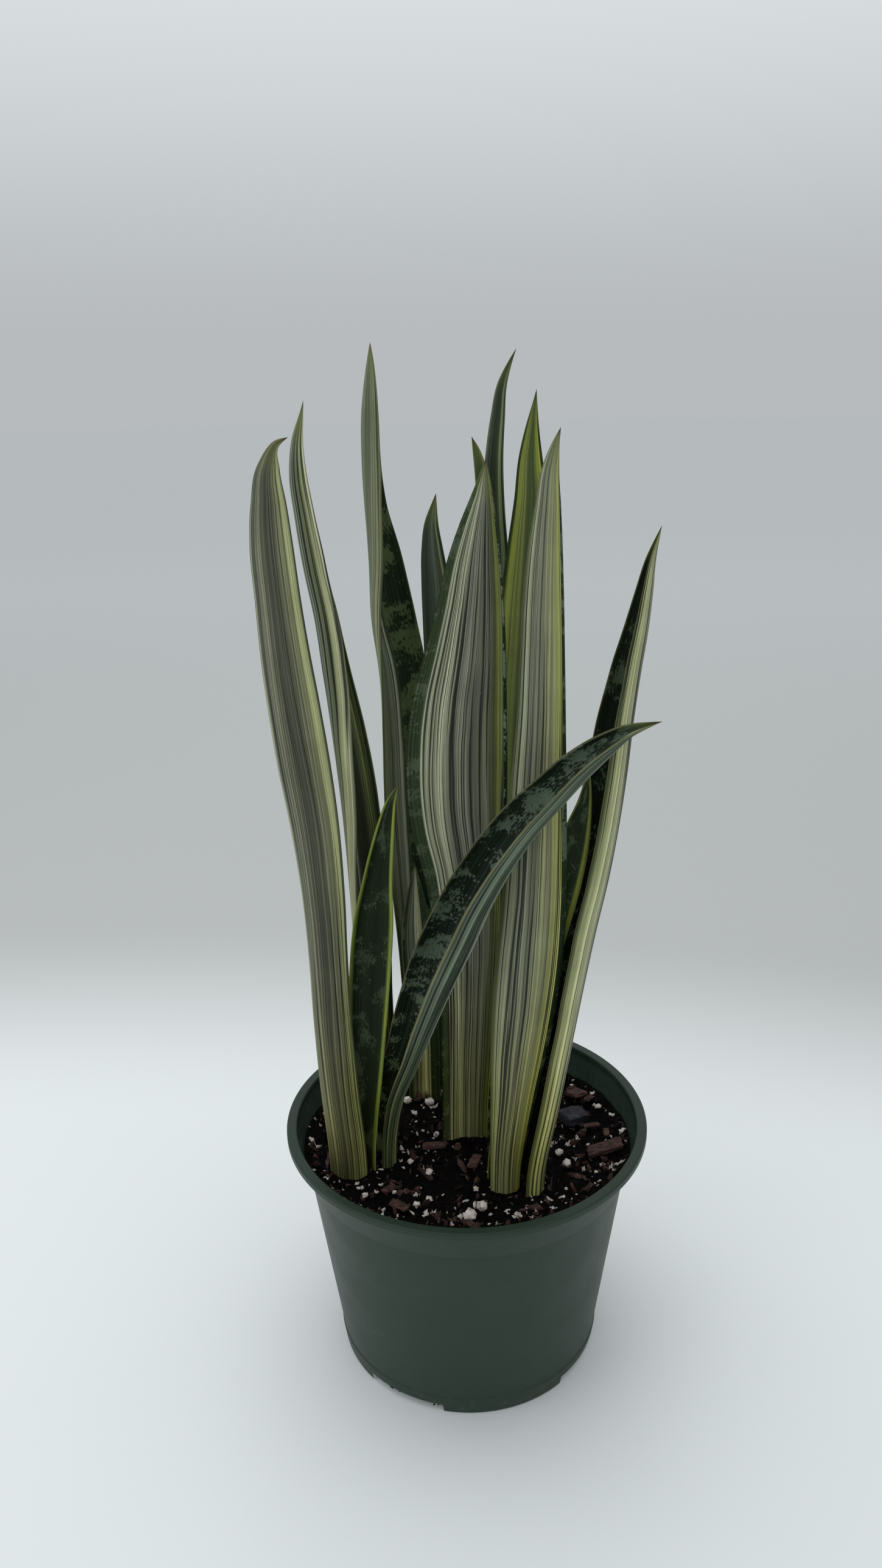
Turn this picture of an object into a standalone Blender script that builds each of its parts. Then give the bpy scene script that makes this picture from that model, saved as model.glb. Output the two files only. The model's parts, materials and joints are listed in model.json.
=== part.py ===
"""Potted snake plant: fourteen channelled leaves in a round plastic nursery pot of soil.

Metres, +Z up. The origin is on the pot's axis, on the flat underside that the pot stands on.
The front of the plant is towards -Y.
"""
import math
import random

import bmesh
import bpy
import numpy as np
from mathutils import Matrix, Vector
from mathutils.bvhtree import BVHTree

MM = 0.001

# Pot: a six-inch nursery pot with a collar, a lip and four drain notches at its foot.
RIM_RADIUS = 76.2 * MM
POT_HEIGHT = 106.5 * MM
BOTTOM_RADIUS = 55.4 * MM
WALL = 1.3 * MM
FLOOR = 1.6 * MM
LIP_WIDTH = 3.0 * MM
LIP_HEIGHT = 3.4 * MM
COLLAR_HEIGHT = 17.0 * MM
COLLAR_TAPER = 4.0 * MM
COLLAR_STEP = 1.4 * MM
FOOT_BAND = 8.0 * MM
FOOT_PROUD = 0.4 * MM
EDGE_BREAK = 0.5 * MM
NOTCH_ANGLE = 36.0
NOTCH_HEIGHT = 4.0 * MM
NOTCH_DEPTH = 7.0 * MM
NOTCH_AZIMUTHS = (-120.0, -30.0, 60.0, 150.0)
POT_STEPS = 48

# Soil: a plug that fills the pot to about the ledge inside the collar, and is banked up against
# the collar, most at the front.
CLEARANCE = 0.35 * MM
SOIL_STEPS = 40
SOIL_RINGS = 8
SOIL_CROWN = 1.6 * MM
SOIL_BANK = 7.0 * MM
SOIL_BANK_POWER = 6
SOIL_TILT = 3.0 * MM
SOIL_WAVE = 0.7 * MM
SOIL_WAVELENGTH = 62.0 * MM

# Leaves: how deep they stand in the soil, and how thick they are.
ROOT_DEPTH = 12.0 * MM
ROOT_NECK = 8.0 * MM
LEAF_THICKNESS = 2.4 * MM
LEAF_EDGE = 0.8 * MM
LEAF_ROWS = 15
LEAF_SEGMENTS = 6
TIP_CROWDING = 1.6

# Each clump of leaves stands where its shoot comes up, for a soil of this radius.
PLAN_RADIUS = 65.9 * MM
CLUMPS = {
    "left": (-42.0, -12.0),
    "centre": (0.0, 4.0),
    "right": (22.0, -32.0),
    "back_left": (-18.0, 38.0),
    "back_right": (12.0, 40.0),
}

# Each leaf is a course of stations from the soil to its tip. A station holds, in millimetres and
# degrees: height above the soil, x and y of the keel from the clump, width from edge to edge,
# direction that the channel opens (0 is +X, -90 is the front), and depth of the channel.
LEAVES = {
    "leaf_left_front": ("left", (0.17, 0.21, 0.15), (
        (0, -7, -11, 15, 90, 4),
        (56, -10, -12, 15, 90, 4),
        (108, -11, -13, 15, 90, 4),
        (144, -12, -14, 17, 90, 4),
        (174, -15, -15, 19, 90, 4),
        (238, -21, -16, 16, 90, 3),
        (273, -22, -17, 12, 90, 2),
        (286, -21, -17, 7, 90, 1),
        (292, -19, -17, 3, 90, 0.5),
        (295, -14, -17, 0, 90, 0),
    )),
    "leaf_left_folded": ("left", (0.25, 0.27, 0.19), (
        (0, 4, 21, 13, -50, 5),
        (60, 2, 17, 15, -48, 7),
        (128, 0, 12, 17, -40, 8),
        (153, -2, 11, 16, -30, 9),
        (176, -4, 10, 15, -22, 9),
        (199, -7, 9, 13, -8, 9),
        (221, -9, 9, 12, 4, 8),
        (264, -15, 8, 7, 10, 6),
        (290, -16, 8, 4, 10, 4),
        (306, -11, 8, 0, 10, 0),
    )),
    "leaf_left_short": ("left", (0.06, 0.12, 0.06), (
        (0, -2, -1, 11, -90, 4),
        (55, 2, -1, 14, -90, 4),
        (95, 5, -1, 16, -90, 4),
        (115, 7, -1, 15, -90, 4),
        (131, 9, -2, 11, -90, 4),
        (149, 12, -2, 7, -90, 3),
        (165, 16, -2, 2, -90, 1),
        (169, 18, -2, 0, -90, 0),
    )),
    "leaf_arching": ("left", (0.07, 0.12, 0.08), (
        (0, 11, 4, 12, 192, 6),
        (33, 15, 0, 14, 196, 8),
        (64, 25, -8, 16, 200, 11),
        (90, 33, -16, 17, 203, 13),
        (116, 43, -23, 17, 203, 14),
        (142, 53, -30, 15, 203, 12),
        (163, 64, -36, 13, 203, 10),
        (181, 77, -42, 10, 203, 8),
        (194, 88, -46, 7, 203, 6),
        (203, 98, -50, 3, 203, 2),
        (206, 106, -52, 0, 203, 0),
    )),
    "leaf_centre_wide": ("centre", (0.20, 0.23, 0.14), (
        (0, 0, 2, 20, -90, 4),
        (42, 1, 2, 22, -90, 4),
        (82, 2, 2, 25, -90, 4),
        (120, 1, 2, 31, -90, 5),
        (156, -2, 2, 39, -90, 5),
        (190, -1, 2, 37, -90, 5),
        (222, 3, 2, 28, -90, 4),
        (253, 6, 2, 18, -90, 3),
        (275, 9, 2, 6, -90, 1),
        (285, 10, 2, 0, -90, 0),
    )),
    "leaf_back_tallest": ("back_left", (0.22, 0.25, 0.17), (
        (0, -2, 8, 14, -70, 5),
        (60, -3, 8, 18, -68, 6),
        (146, -6, 8, 24, -65, 7),
        (194, -8, 9, 22, -58, 8),
        (217, -13, 9, 20, -45, 10),
        (239, -15, 9, 17, -30, 9),
        (261, -17, 9, 12, -10, 7),
        (303, -17, 9, 6, 5, 5),
        (320, -15, 9, 2, 5, 2),
        (326, -14, 9, 0, 5, 0),
    )),
    "leaf_back_short": ("back_left", (0.15, 0.19, 0.11), (
        (0, 0, -3, 14, -90, 3),
        (45, 0, -3, 13, -90, 3),
        (87, -2, -3, 12, -90, 3),
        (100, -2, -3, 8, -90, 2),
        (116, -2, -3, 0, -90, 0),
    )),
    "leaf_back_small": ("back_left", (0.21, 0.25, 0.17), (
        (0, 12, 12, 9, -90, 2),
        (110, 10, 13, 12, -90, 3),
        (210, 10, 14, 12, -90, 3),
        (235, 9, 14, 11, -90, 2),
        (258, 8, 14, 5, -90, 1),
        (269, 10, 15, 0, -90, 0),
    )),
    "leaf_back_slender": ("back_right", (0.24, 0.27, 0.18), (
        (0, 0, 8, 12, -90, 3),
        (120, 1, 11, 17, -90, 4),
        (238, 3, 13, 12, -90, 3),
        (280, 3, 13, 7, -90, 2),
        (300, 5, 14, 5, -90, 1),
        (312, 7, 14, 3, -90, 0.6),
        (323, 12, 14, 0, -90, 0),
    )),
    "leaf_back_hidden": ("back_right", (0.05, 0.09, 0.05), (
        (0, -7, -1, 9, -90, 2),
        (150, -4, 1, 12, -90, 3),
        (239, -2, 3, 8, -90, 2),
        (275, -2, 3, 5, -90, 1),
        (285, -4, 3, 3, -90, 0.6),
        (291, -6, 3, 0, -90, 0),
    )),
    "leaf_back_yellow": ("back_right", (0.30, 0.33, 0.13), (
        (0, 8, -5, 13, -90, 3),
        (120, 9, -3, 20, -90, 4),
        (200, 14, 0, 23, -90, 4),
        (238, 16, 1, 20, -90, 4),
        (264, 17, 2, 14, -90, 3),
        (289, 17, 3, 7, -90, 1),
        (299, 18, 3, 3, -90, 0.5),
        (308, 19, 3, 0, -90, 0),
    )),
    "leaf_right_front": ("right", (0.24, 0.27, 0.17), (
        (0, -7, 0, 12, 90, 4),
        (45, -4, -3, 18, 90, 4),
        (87, 0, -6, 25, 90, 5),
        (127, 3, -7, 24, 90, 5),
        (164, 4, -7, 21, 90, 4),
        (200, 5, -7, 17, 90, 4),
        (265, 6, -7, 10, 90, 2),
        (290, 8, -7, 3, 90, 1),
        (297, 10, -7, 0, 90, 0),
    )),
    "leaf_right_folded": ("right", (0.33, 0.34, 0.21), (
        (0, 7, 5, 12, 200, 9),
        (39, 13, 5, 15, 197, 10),
        (76, 19, 5, 17, 195, 10),
        (111, 25, 6, 18, 195, 11),
        (144, 31, 6, 18, 197, 11),
        (175, 35, 6, 17, 197, 10),
        (205, 38, 6, 14, 194, 8),
        (234, 42, 6, 8, 192, 5),
        (254, 44, 6, 3, 192, 2),
        (264, 46, 6, 0, 192, 0),
    )),
    "leaf_right_young": ("right", (0.06, 0.10, 0.06), (
        (0, -10, 11, 8, -90, 2),
        (59, 0, 8, 12, -90, 3),
        (114, 9, 5, 14, -90, 3),
        (134, 14, 3, 13, -90, 3),
        (151, 18, 3, 11, -90, 2),
        (169, 22, 3, 4, -90, 1),
        (181, 23, 3, 0, -90, 0),
    )),
}

# Bark chips and perlite grains lie on the soil. Each one's x and y are counted from a clump, or
# from the soil's edge as an inset and an azimuth. Sizes are length, width and thickness.
BARK = (
    ("edge", (8, 30), (13, 9, 2.2), 115, 20),
    ("edge", (17, 15), (13, 11, 4.5), 30, 6),
    ("edge", (5, 24), (8, 4, 1.6), 60, 16),
    ("edge", (7, -11), (17, 8, 2.4), 8, -14),
    ("edge", (11, 7), (9, 3, 1.6), 12, 4),
    ("edge", (6, 0), (9, 3, 1.6), 85, 10),
    ("centre", (-14, -7), (12, 5, 1.6), 5, 3),
    ("centre", (3, -19), (12, 5, 1.8), 75, 6),
    ("right", (-17, -9), (6, 3, 1.4), 20, 4),
    ("left", (10, -20), (8, 4, 1.6), 40, 5),
    ("left", (14, -31), (9, 5, 1.6), -30, 5),
)
PERLITE = (
    ("back_left", (-8, -9), 4.8),
    ("back_left", (2, -11), 5.2),
    ("centre", (0, -55), 6.4),
    ("centre", (5, -49), 5.4),
    ("centre", (-13, 1), 3.6),
    ("centre", (-24, -18), 3.4),
    ("centre", (-16, -26), 4.0),
    ("right", (17, 22), 4.2),
    ("edge", (21, -24), 4.4),
    ("centre", (-16, -43), 3.4),
    ("centre", (-21, -47), 3.8),
    ("centre", (3, -36), 3.2),
    ("edge", (4, 18), 3.6),
    ("edge", (4, 44), 4.0),
    ("edge", (11, -70), 3.6),
    ("edge", (10, -138), 3.2),
)
CHIP_BEVEL = 0.4 * MM


def clear_scene():
    """Remove what the file opens with."""
    for item in list(bpy.data.objects):
        bpy.data.objects.remove(item, do_unlink=True)


def new_collection(name):
    """Make a collection in the scene."""
    collection = bpy.data.collections.new(name)
    bpy.context.scene.collection.children.link(collection)
    return collection


def make_material(name, colour, roughness):
    """A plain Principled material with a linear base colour."""
    material = bpy.data.materials.new(name)
    material.use_nodes = True
    surface = material.node_tree.nodes["Principled BSDF"]
    surface.inputs["Base Color"].default_value = (*colour, 1.0)
    surface.inputs["Roughness"].default_value = roughness
    surface.inputs["Metallic"].default_value = 0.0
    return material


def add_object(name, mesh, collection, colour, roughness):
    """Put a mesh in the collection as a named object with its own material."""
    item = bpy.data.objects.new(name, mesh)
    collection.objects.link(item)
    mesh.materials.append(make_material(name + "_material", colour, roughness))
    return item


def add_cutter(name, mesh, collection):
    """Put a mesh in the cutters' collection, where it isn't part of the model."""
    cutter = bpy.data.objects.new(name, mesh)
    collection.objects.link(cutter)
    cutter.hide_render = True
    cutter.display_type = "WIRE"
    return cutter


def subtract(item, cutter):
    """Cut one object from another with a live Boolean."""
    modifier = item.modifiers.new("cut_" + cutter.name, "BOOLEAN")
    modifier.operation = "DIFFERENCE"
    modifier.solver = "EXACT"
    modifier.object = cutter


def outer_wall_radius(height):
    """Radius of the pot's plain outer wall, under the collar, at a height."""
    top = POT_HEIGHT - COLLAR_HEIGHT
    wall_top_radius = RIM_RADIUS - LIP_WIDTH - COLLAR_TAPER - COLLAR_STEP
    share = height / top
    return BOTTOM_RADIUS + (wall_top_radius - BOTTOM_RADIUS) * share


def ledge_height():
    """Height of the ledge inside the pot, where the wall widens into the collar."""
    return POT_HEIGHT - COLLAR_HEIGHT + COLLAR_STEP / 2


def soil_edge_radius():
    """Radius of the soil just under the ledge."""
    return outer_wall_radius(soil_edge_height()) - WALL - CLEARANCE


def soil_edge_height():
    """Height just under the ledge, which the soil's own heights are counted from."""
    return ledge_height() - 2 * CLEARANCE


def soil_level():
    """Height of the soil in the middle, which leaf heights are counted from."""
    return soil_edge_height() + SOIL_CROWN


def soil_rim_height(azimuth):
    """Height of the bank of soil where it touches the collar."""
    return soil_edge_height() + SOIL_BANK - SOIL_TILT * math.sin(azimuth)


def soil_rim_radius(azimuth):
    """Radius of the bank of soil where it touches the collar, which widens upwards."""
    top, bottom = POT_HEIGHT - LIP_HEIGHT, ledge_height()
    share = (soil_rim_height(azimuth) - bottom) / (top - bottom)
    return RIM_RADIUS - LIP_WIDTH - COLLAR_TAPER * (1.0 - share) - WALL - CLEARANCE


def pot_profile():
    """Half section of the pot as (radius, height), from the floor's centre over the rim and under."""
    collar_bottom = POT_HEIGHT - COLLAR_HEIGHT
    collar_top_radius = RIM_RADIUS - LIP_WIDTH
    collar_bottom_radius = collar_top_radius - COLLAR_TAPER
    lip_bottom = POT_HEIGHT - LIP_HEIGHT
    ledge = ledge_height()
    inside_ledge = ledge - COLLAR_STEP / 4
    foot_top_radius = outer_wall_radius(FOOT_BAND)
    foot_bottom_radius = outer_wall_radius(EDGE_BREAK) + FOOT_PROUD
    return [
        (0.0, FLOOR),
        (outer_wall_radius(FLOOR) - WALL, FLOOR),
        (outer_wall_radius(inside_ledge) - WALL, inside_ledge),
        (collar_bottom_radius - WALL, ledge),
        (collar_top_radius - WALL, lip_bottom),
        (collar_top_radius - WALL, POT_HEIGHT - EDGE_BREAK),
        (collar_top_radius - WALL + EDGE_BREAK, POT_HEIGHT),
        (RIM_RADIUS - EDGE_BREAK, POT_HEIGHT),
        (RIM_RADIUS, POT_HEIGHT - EDGE_BREAK),
        (RIM_RADIUS, lip_bottom + EDGE_BREAK),
        (RIM_RADIUS - EDGE_BREAK, lip_bottom),
        (collar_top_radius, lip_bottom - EDGE_BREAK),
        (collar_bottom_radius, collar_bottom + EDGE_BREAK),
        (collar_bottom_radius - EDGE_BREAK, collar_bottom),
        (outer_wall_radius(collar_bottom - EDGE_BREAK), collar_bottom - EDGE_BREAK),
        (foot_top_radius, FOOT_BAND),
        (foot_top_radius + FOOT_PROUD, FOOT_BAND - FOOT_PROUD),
        (foot_bottom_radius, EDGE_BREAK),
        (foot_bottom_radius - EDGE_BREAK, 0.0),
        (0.0, 0.0),
    ]


def make_pot(parts, cutters):
    """The turned pot, with drain notches cut through the foot of its wall."""
    mesh = bpy.data.meshes.new("pot")
    points = [(radius, 0.0, height) for radius, height in pot_profile()]
    edges = [(index, index + 1) for index in range(len(points) - 1)]
    mesh.from_pydata(points, edges, [])
    pot = add_object("pot", mesh, parts, (0.028, 0.045, 0.034), 0.45)
    screw = pot.modifiers.new("turn", "SCREW")
    screw.axis = "Z"
    screw.steps = POT_STEPS
    screw.render_steps = POT_STEPS
    screw.use_merge_vertices = True
    screw.merge_threshold = 0.00005
    for index, azimuth in enumerate(NOTCH_AZIMUTHS):
        subtract(pot, make_notch_cutter(index, azimuth, cutters))
    return pot


def make_notch_cutter(index, azimuth, cutters):
    """A box across the foot of the wall, as wide as the notch's angle."""
    half_width = BOTTOM_RADIUS * math.sin(math.radians(NOTCH_ANGLE / 2))
    inner = BOTTOM_RADIUS - NOTCH_DEPTH
    outer = BOTTOM_RADIUS + 3 * WALL
    size = Vector((outer - inner, 2 * half_width, 2 * NOTCH_HEIGHT))
    shape = bmesh.new()
    bmesh.ops.create_cube(shape, size=1.0)
    bmesh.ops.scale(shape, vec=size, verts=shape.verts)
    bmesh.ops.translate(shape, vec=((inner + outer) / 2, 0.0, 0.0), verts=shape.verts)
    mesh = bpy.data.meshes.new(f"notch_cutter_{index + 1}")
    shape.to_mesh(mesh)
    shape.free()
    cutter = add_cutter(mesh.name, mesh, cutters)
    cutter.rotation_euler = (0.0, 0.0, math.radians(azimuth))
    return cutter


def soil_height(x, y):
    """Uneven height of the soil's surface, banked up towards the collar."""
    azimuth = math.atan2(y, x)
    share = min(1.0, math.hypot(x, y) / soil_rim_radius(azimuth))
    wave = math.sin(x * math.tau / SOIL_WAVELENGTH + 0.6) * math.cos(y * math.tau / SOIL_WAVELENGTH)
    inside = 1.0 - share ** 4
    bank = (soil_rim_height(azimuth) - soil_edge_height()) * share ** SOIL_BANK_POWER
    return soil_edge_height() + inside * (SOIL_CROWN + SOIL_WAVE * wave) + bank


def make_soil(parts):
    """The soil plug, which follows the inside of the pot with a clearance."""
    bottom = FLOOR + CLEARANCE
    edge = soil_edge_radius()
    over_ledge = RIM_RADIUS - LIP_WIDTH - COLLAR_TAPER - WALL - CLEARANCE
    bottom_radius = outer_wall_radius(bottom) - WALL - CLEARANCE
    profile = [
        (0.0, bottom),
        (bottom_radius, bottom),
        (edge, soil_edge_height()),
        (edge, ledge_height() + CLEARANCE),
        (over_ledge, ledge_height() + 2 * CLEARANCE),
    ]
    for ring in range(SOIL_RINGS, -1, -1):
        profile.append((soil_rim_radius(0.0) * ring / SOIL_RINGS, POT_HEIGHT))
    shape = bmesh.new()
    corners = [shape.verts.new((radius, 0.0, height)) for radius, height in profile]
    sides = [shape.edges.new(pair) for pair in zip(corners[:-1], corners[1:])]
    bmesh.ops.spin(
        shape, geom=corners + sides, cent=(0, 0, 0), axis=(0, 0, 1),
        angle=math.tau, steps=SOIL_STEPS, use_merge=True,
    )
    bmesh.ops.remove_doubles(shape, verts=shape.verts, dist=0.00005)
    for corner in shape.verts:
        if corner.co.z > POT_HEIGHT - CLEARANCE:
            stretch = soil_rim_radius(math.atan2(corner.co.y, corner.co.x)) / soil_rim_radius(0.0)
            corner.co.x *= stretch
            corner.co.y *= stretch
            corner.co.z = soil_height(corner.co.x, corner.co.y)
    bmesh.ops.recalc_face_normals(shape, faces=shape.faces)
    mesh = bpy.data.meshes.new("soil")
    shape.to_mesh(mesh)
    shape.free()
    mesh.shade_smooth()
    mesh.set_sharp_from_angle(angle=math.radians(40))
    return add_object("soil", mesh, parts, (0.020, 0.013, 0.010), 0.95)


def clump_place(clump):
    """Where a clump stands, drawn in or out with the soil's radius."""
    share = soil_edge_radius() / PLAN_RADIUS
    x, y = CLUMPS[clump]
    return Vector((x * MM * share, y * MM * share, soil_level()))


def smooth_course(stations, shares):
    """Values read along a smooth curve from the root through the stations, at shares of its length."""
    root = (-ROOT_DEPTH / MM, *stations[0][1:])
    table = np.array((root, *stations), dtype=float)
    steps = np.linalg.norm(np.diff(table[:, :3], axis=0), axis=1)
    places = np.concatenate(([0.0], np.cumsum(steps)))
    slopes = np.gradient(table, places, axis=0)
    distances = np.clip(np.asarray(shares, dtype=float), 0.0, 1.0) * places[-1]
    spans = np.clip(np.searchsorted(places, distances, side="right") - 1, 0, len(places) - 2)
    length = (places[spans + 1] - places[spans])[:, None]
    along = (distances - places[spans])[:, None] / length
    start = table[spans] * (1 + 2 * along) * (1 - along) ** 2
    end = table[spans + 1] * along ** 2 * (3 - 2 * along)
    start_slope = slopes[spans] * length * along * (1 - along) ** 2
    end_slope = slopes[spans + 1] * length * along ** 2 * (along - 1)
    return start + end + start_slope + end_slope


def course_shares(stations):
    """Shares of a leaf's length where its rows lie: one in the soil, one just above, then closer."""
    fine = np.linspace(0.0, 1.0, 400)
    heights = smooth_course(stations, fine)[:, 0] * MM
    neck = fine[np.argmax(heights > ROOT_NECK)]
    steps = np.linspace(0.0, 1.0, LEAF_ROWS)
    return np.concatenate(([0.0], neck + (1.0 - neck) * (1.0 - (1.0 - steps) ** TIP_CROWDING)))


def leaf_section(width, channel, grow):
    """Outline of a channelled section: outer side from edge to edge, then the inner side back."""
    middle = min(LEAF_THICKNESS, 0.35 * width) / 2 + grow
    edge = min(LEAF_EDGE, 0.2 * width) / 2 + grow
    fold = 2 * math.atan2(max(channel, 0.05 * width), width / 2)
    radius = width / 2 / math.sin(fold)
    outer = []
    inner = []
    for step in range(LEAF_SEGMENTS + 1):
        share = 2 * step / LEAF_SEGMENTS - 1
        angle = share * fold
        if abs(share) == 1:
            angle += share * grow / radius
        thickness = edge + (middle - edge) * (1 - share ** 2)
        across = Vector((math.sin(angle), 1 - math.cos(angle))) * radius
        outward = Vector((math.sin(angle), -math.cos(angle))) * thickness
        outer.append(across + outward)
        inner.append(across - outward)
    return outer + inner[::-1]


def leaf_rings(stations, clump, shares, grow=0.0):
    """Rings of points in space along a leaf, each square to its course."""
    root = clump_place(clump)
    nudge = 0.004
    rows = smooth_course(stations, shares)
    before = smooth_course(stations, np.asarray(shares) - nudge)
    after = smooth_course(stations, np.asarray(shares) + nudge)
    rings = []
    for row, low, high in zip(rows, before, after):
        place = root + Vector((row[1], row[2], row[0])) * MM
        course = Vector((high[1] - low[1], high[2] - low[2], high[0] - low[0])).normalized()
        opening = Vector((math.cos(math.radians(row[4])), math.sin(math.radians(row[4])), 0.0))
        opening = (opening - course * opening.dot(course)).normalized()
        across = course.cross(opening)
        outline = leaf_section(max(row[3], 0.0) * MM, row[5] * MM, grow)
        rings.append([place + across * point.x + opening * point.y for point in outline])
    return rings


def loft(name, rings, tip):
    """Skin the rings, with a flat end at the root and either a point or a flat end at the tip."""
    shape = bmesh.new()
    loops = [[shape.verts.new(point) for point in ring] for ring in rings]
    count = len(loops[0])
    for lower, upper in zip(loops[:-1], loops[1:]):
        for index in range(count):
            following = (index + 1) % count
            shape.faces.new((lower[index], lower[following], upper[following], upper[index]))
    flat_ends = [loops[0]] if tip else [loops[0], loops[-1]]
    for loop in flat_ends:
        for index in range(count // 2 - 1):
            shape.faces.new((loop[index], loop[index + 1], loop[-index - 2], loop[-index - 1]))
    if tip:
        point = shape.verts.new(tip)
        for index in range(count):
            shape.faces.new((loops[-1][index], loops[-1][(index + 1) % count], point))
    bmesh.ops.recalc_face_normals(shape, faces=shape.faces)
    mesh = bpy.data.meshes.new(name)
    shape.to_mesh(mesh)
    shape.free()
    mesh.shade_smooth()
    return mesh


def make_leaf(name, clump, colour, stations, parts):
    """One leaf, from its root in the soil to its tip."""
    shares = course_shares(stations)
    rings = leaf_rings(stations, clump, shares[:-1])
    last = smooth_course(stations, [1.0])[0]
    tip = clump_place(clump) + Vector((last[1], last[2], last[0])) * MM
    mesh = loft(name, rings, tip)
    mesh.set_sharp_from_angle(angle=math.radians(50))
    return add_object(name, mesh, parts, colour, 0.42)


def make_root_cutter(name, clump, stations, cutters):
    """The socket that a leaf stands in: its own root, grown by the clearance."""
    shares = course_shares(stations)[:2]
    rings = leaf_rings(stations, clump, shares, CLEARANCE)
    deeper = [point - Vector((0.0, 0.0, CLEARANCE)) for point in rings[0]]
    mesh = loft("socket_" + name, [deeper] + rings, None)
    return add_cutter(mesh.name, mesh, cutters)


def lying_place(anchor, offset):
    """Where a chip or a grain lies: from a clump, or in from the soil's edge at an azimuth."""
    if anchor == "edge":
        radius = soil_edge_radius() - offset[0] * MM
        azimuth = math.radians(offset[1])
        return Vector((radius * math.cos(azimuth), radius * math.sin(azimuth), POT_HEIGHT))
    place = clump_place(anchor)
    return Vector((place.x + offset[0] * MM, place.y + offset[1] * MM, POT_HEIGHT))


def lay_on_soil(mesh, place, turn, soil_tree):
    """Turn a mesh, take it to its place, and lower it until its clearance above the soil."""
    mesh.transform(Matrix.Translation(place) @ turn)
    gaps = []
    for vertex in mesh.vertices:
        hit = soil_tree.ray_cast(vertex.co, Vector((0.0, 0.0, -1.0)))
        if hit[0] is not None:
            gaps.append(vertex.co.z - max(hit[0].z, soil_height(vertex.co.x, vertex.co.y)))
    mesh.transform(Matrix.Translation((0.0, 0.0, CLEARANCE - min(gaps))))


def make_bark(index, chip, parts, soil_tree, chance):
    """A flat, irregular chip of bark."""
    anchor, offset, size, azimuth, tilt = chip
    shape = bmesh.new()
    bmesh.ops.create_cube(shape, size=1.0)
    for corner in shape.verts:
        corner.co.x *= size[0] * MM * chance.uniform(0.75, 1.0)
        corner.co.y *= size[1] * MM * chance.uniform(0.7, 1.0)
        corner.co.z *= size[2] * MM
    bmesh.ops.bevel(
        shape, geom=shape.edges[:], offset=CHIP_BEVEL, offset_type="OFFSET", segments=1,
        profile=0.5, affect="EDGES",
    )
    mesh = bpy.data.meshes.new(f"bark_chip_{index:02d}")
    shape.to_mesh(mesh)
    shape.free()
    turn = Matrix.Rotation(math.radians(azimuth), 4, "Z") @ Matrix.Rotation(math.radians(tilt), 4, "Y")
    lay_on_soil(mesh, lying_place(anchor, offset), turn, soil_tree)
    colour = (0.075, 0.035, 0.025) if index != 2 else (0.035, 0.035, 0.045)
    return add_object(mesh.name, mesh, parts, colour, 0.85)


def make_perlite(index, grain, parts, soil_tree, chance):
    """A rounded, lumpy grain of perlite."""
    anchor, offset, size = grain
    shape = bmesh.new()
    bmesh.ops.create_icosphere(shape, subdivisions=2, radius=0.5)
    for corner in shape.verts:
        corner.co *= size * MM * chance.uniform(0.88, 1.06)
        corner.co.z *= 0.8
    mesh = bpy.data.meshes.new(f"perlite_{index:02d}")
    shape.to_mesh(mesh)
    shape.free()
    mesh.shade_smooth()
    turn = Matrix.Rotation(chance.uniform(0.0, math.tau), 4, "Z")
    lay_on_soil(mesh, lying_place(anchor, offset), turn, soil_tree)
    return add_object(mesh.name, mesh, parts, (0.42, 0.38, 0.33), 0.8)


def main():
    """Build the whole potted plant."""
    clear_scene()
    parts = new_collection("potted_snake_plant")
    cutters = new_collection("cutters")
    make_pot(parts, cutters)
    soil = make_soil(parts)
    for name, (clump, colour, stations) in LEAVES.items():
        make_leaf(name, clump, colour, stations, parts)
        subtract(soil, make_root_cutter(name, clump, stations, cutters))
    bpy.context.view_layer.update()
    soil_tree = BVHTree.FromObject(soil, bpy.context.evaluated_depsgraph_get())
    chance = random.Random(7)
    for index, chip in enumerate(BARK, start=1):
        make_bark(index, chip, parts, soil_tree, chance)
    for index, grain in enumerate(PERLITE, start=1):
        make_perlite(index, grain, parts, soil_tree, chance)


main()
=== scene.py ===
# %% [markdown]
# # A potted snake plant
#
# This file dresses a finished model: fourteen leaves, a plastic nursery pot, its soil, and the bark
# and perlite that lie on the soil. The model gives every size and place. Here each piece gets its
# fine surface and its finish. The file is read from top to bottom, one cell at a time.

import json
import math
import random

import bmesh
import bpy
import numpy as np
from mathutils.bvhtree import BVHTree
from mathutils import Matrix, Quaternion, Vector, noise


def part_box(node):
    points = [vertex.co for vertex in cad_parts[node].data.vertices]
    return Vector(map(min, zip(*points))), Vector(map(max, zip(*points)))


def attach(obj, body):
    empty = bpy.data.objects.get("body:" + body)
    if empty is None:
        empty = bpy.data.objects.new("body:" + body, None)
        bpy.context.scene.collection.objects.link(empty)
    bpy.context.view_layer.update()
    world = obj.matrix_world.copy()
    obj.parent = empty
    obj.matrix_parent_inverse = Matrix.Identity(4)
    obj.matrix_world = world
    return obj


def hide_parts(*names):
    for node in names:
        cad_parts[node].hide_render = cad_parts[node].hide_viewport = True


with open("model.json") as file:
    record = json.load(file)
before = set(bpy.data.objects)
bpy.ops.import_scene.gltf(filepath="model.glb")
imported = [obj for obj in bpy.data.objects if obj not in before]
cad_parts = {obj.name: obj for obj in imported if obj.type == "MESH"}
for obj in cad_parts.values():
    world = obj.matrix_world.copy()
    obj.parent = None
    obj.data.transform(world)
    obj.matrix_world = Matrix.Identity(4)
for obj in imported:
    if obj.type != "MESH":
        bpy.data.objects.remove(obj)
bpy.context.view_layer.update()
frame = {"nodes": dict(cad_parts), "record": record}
BODY = "root"
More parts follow.
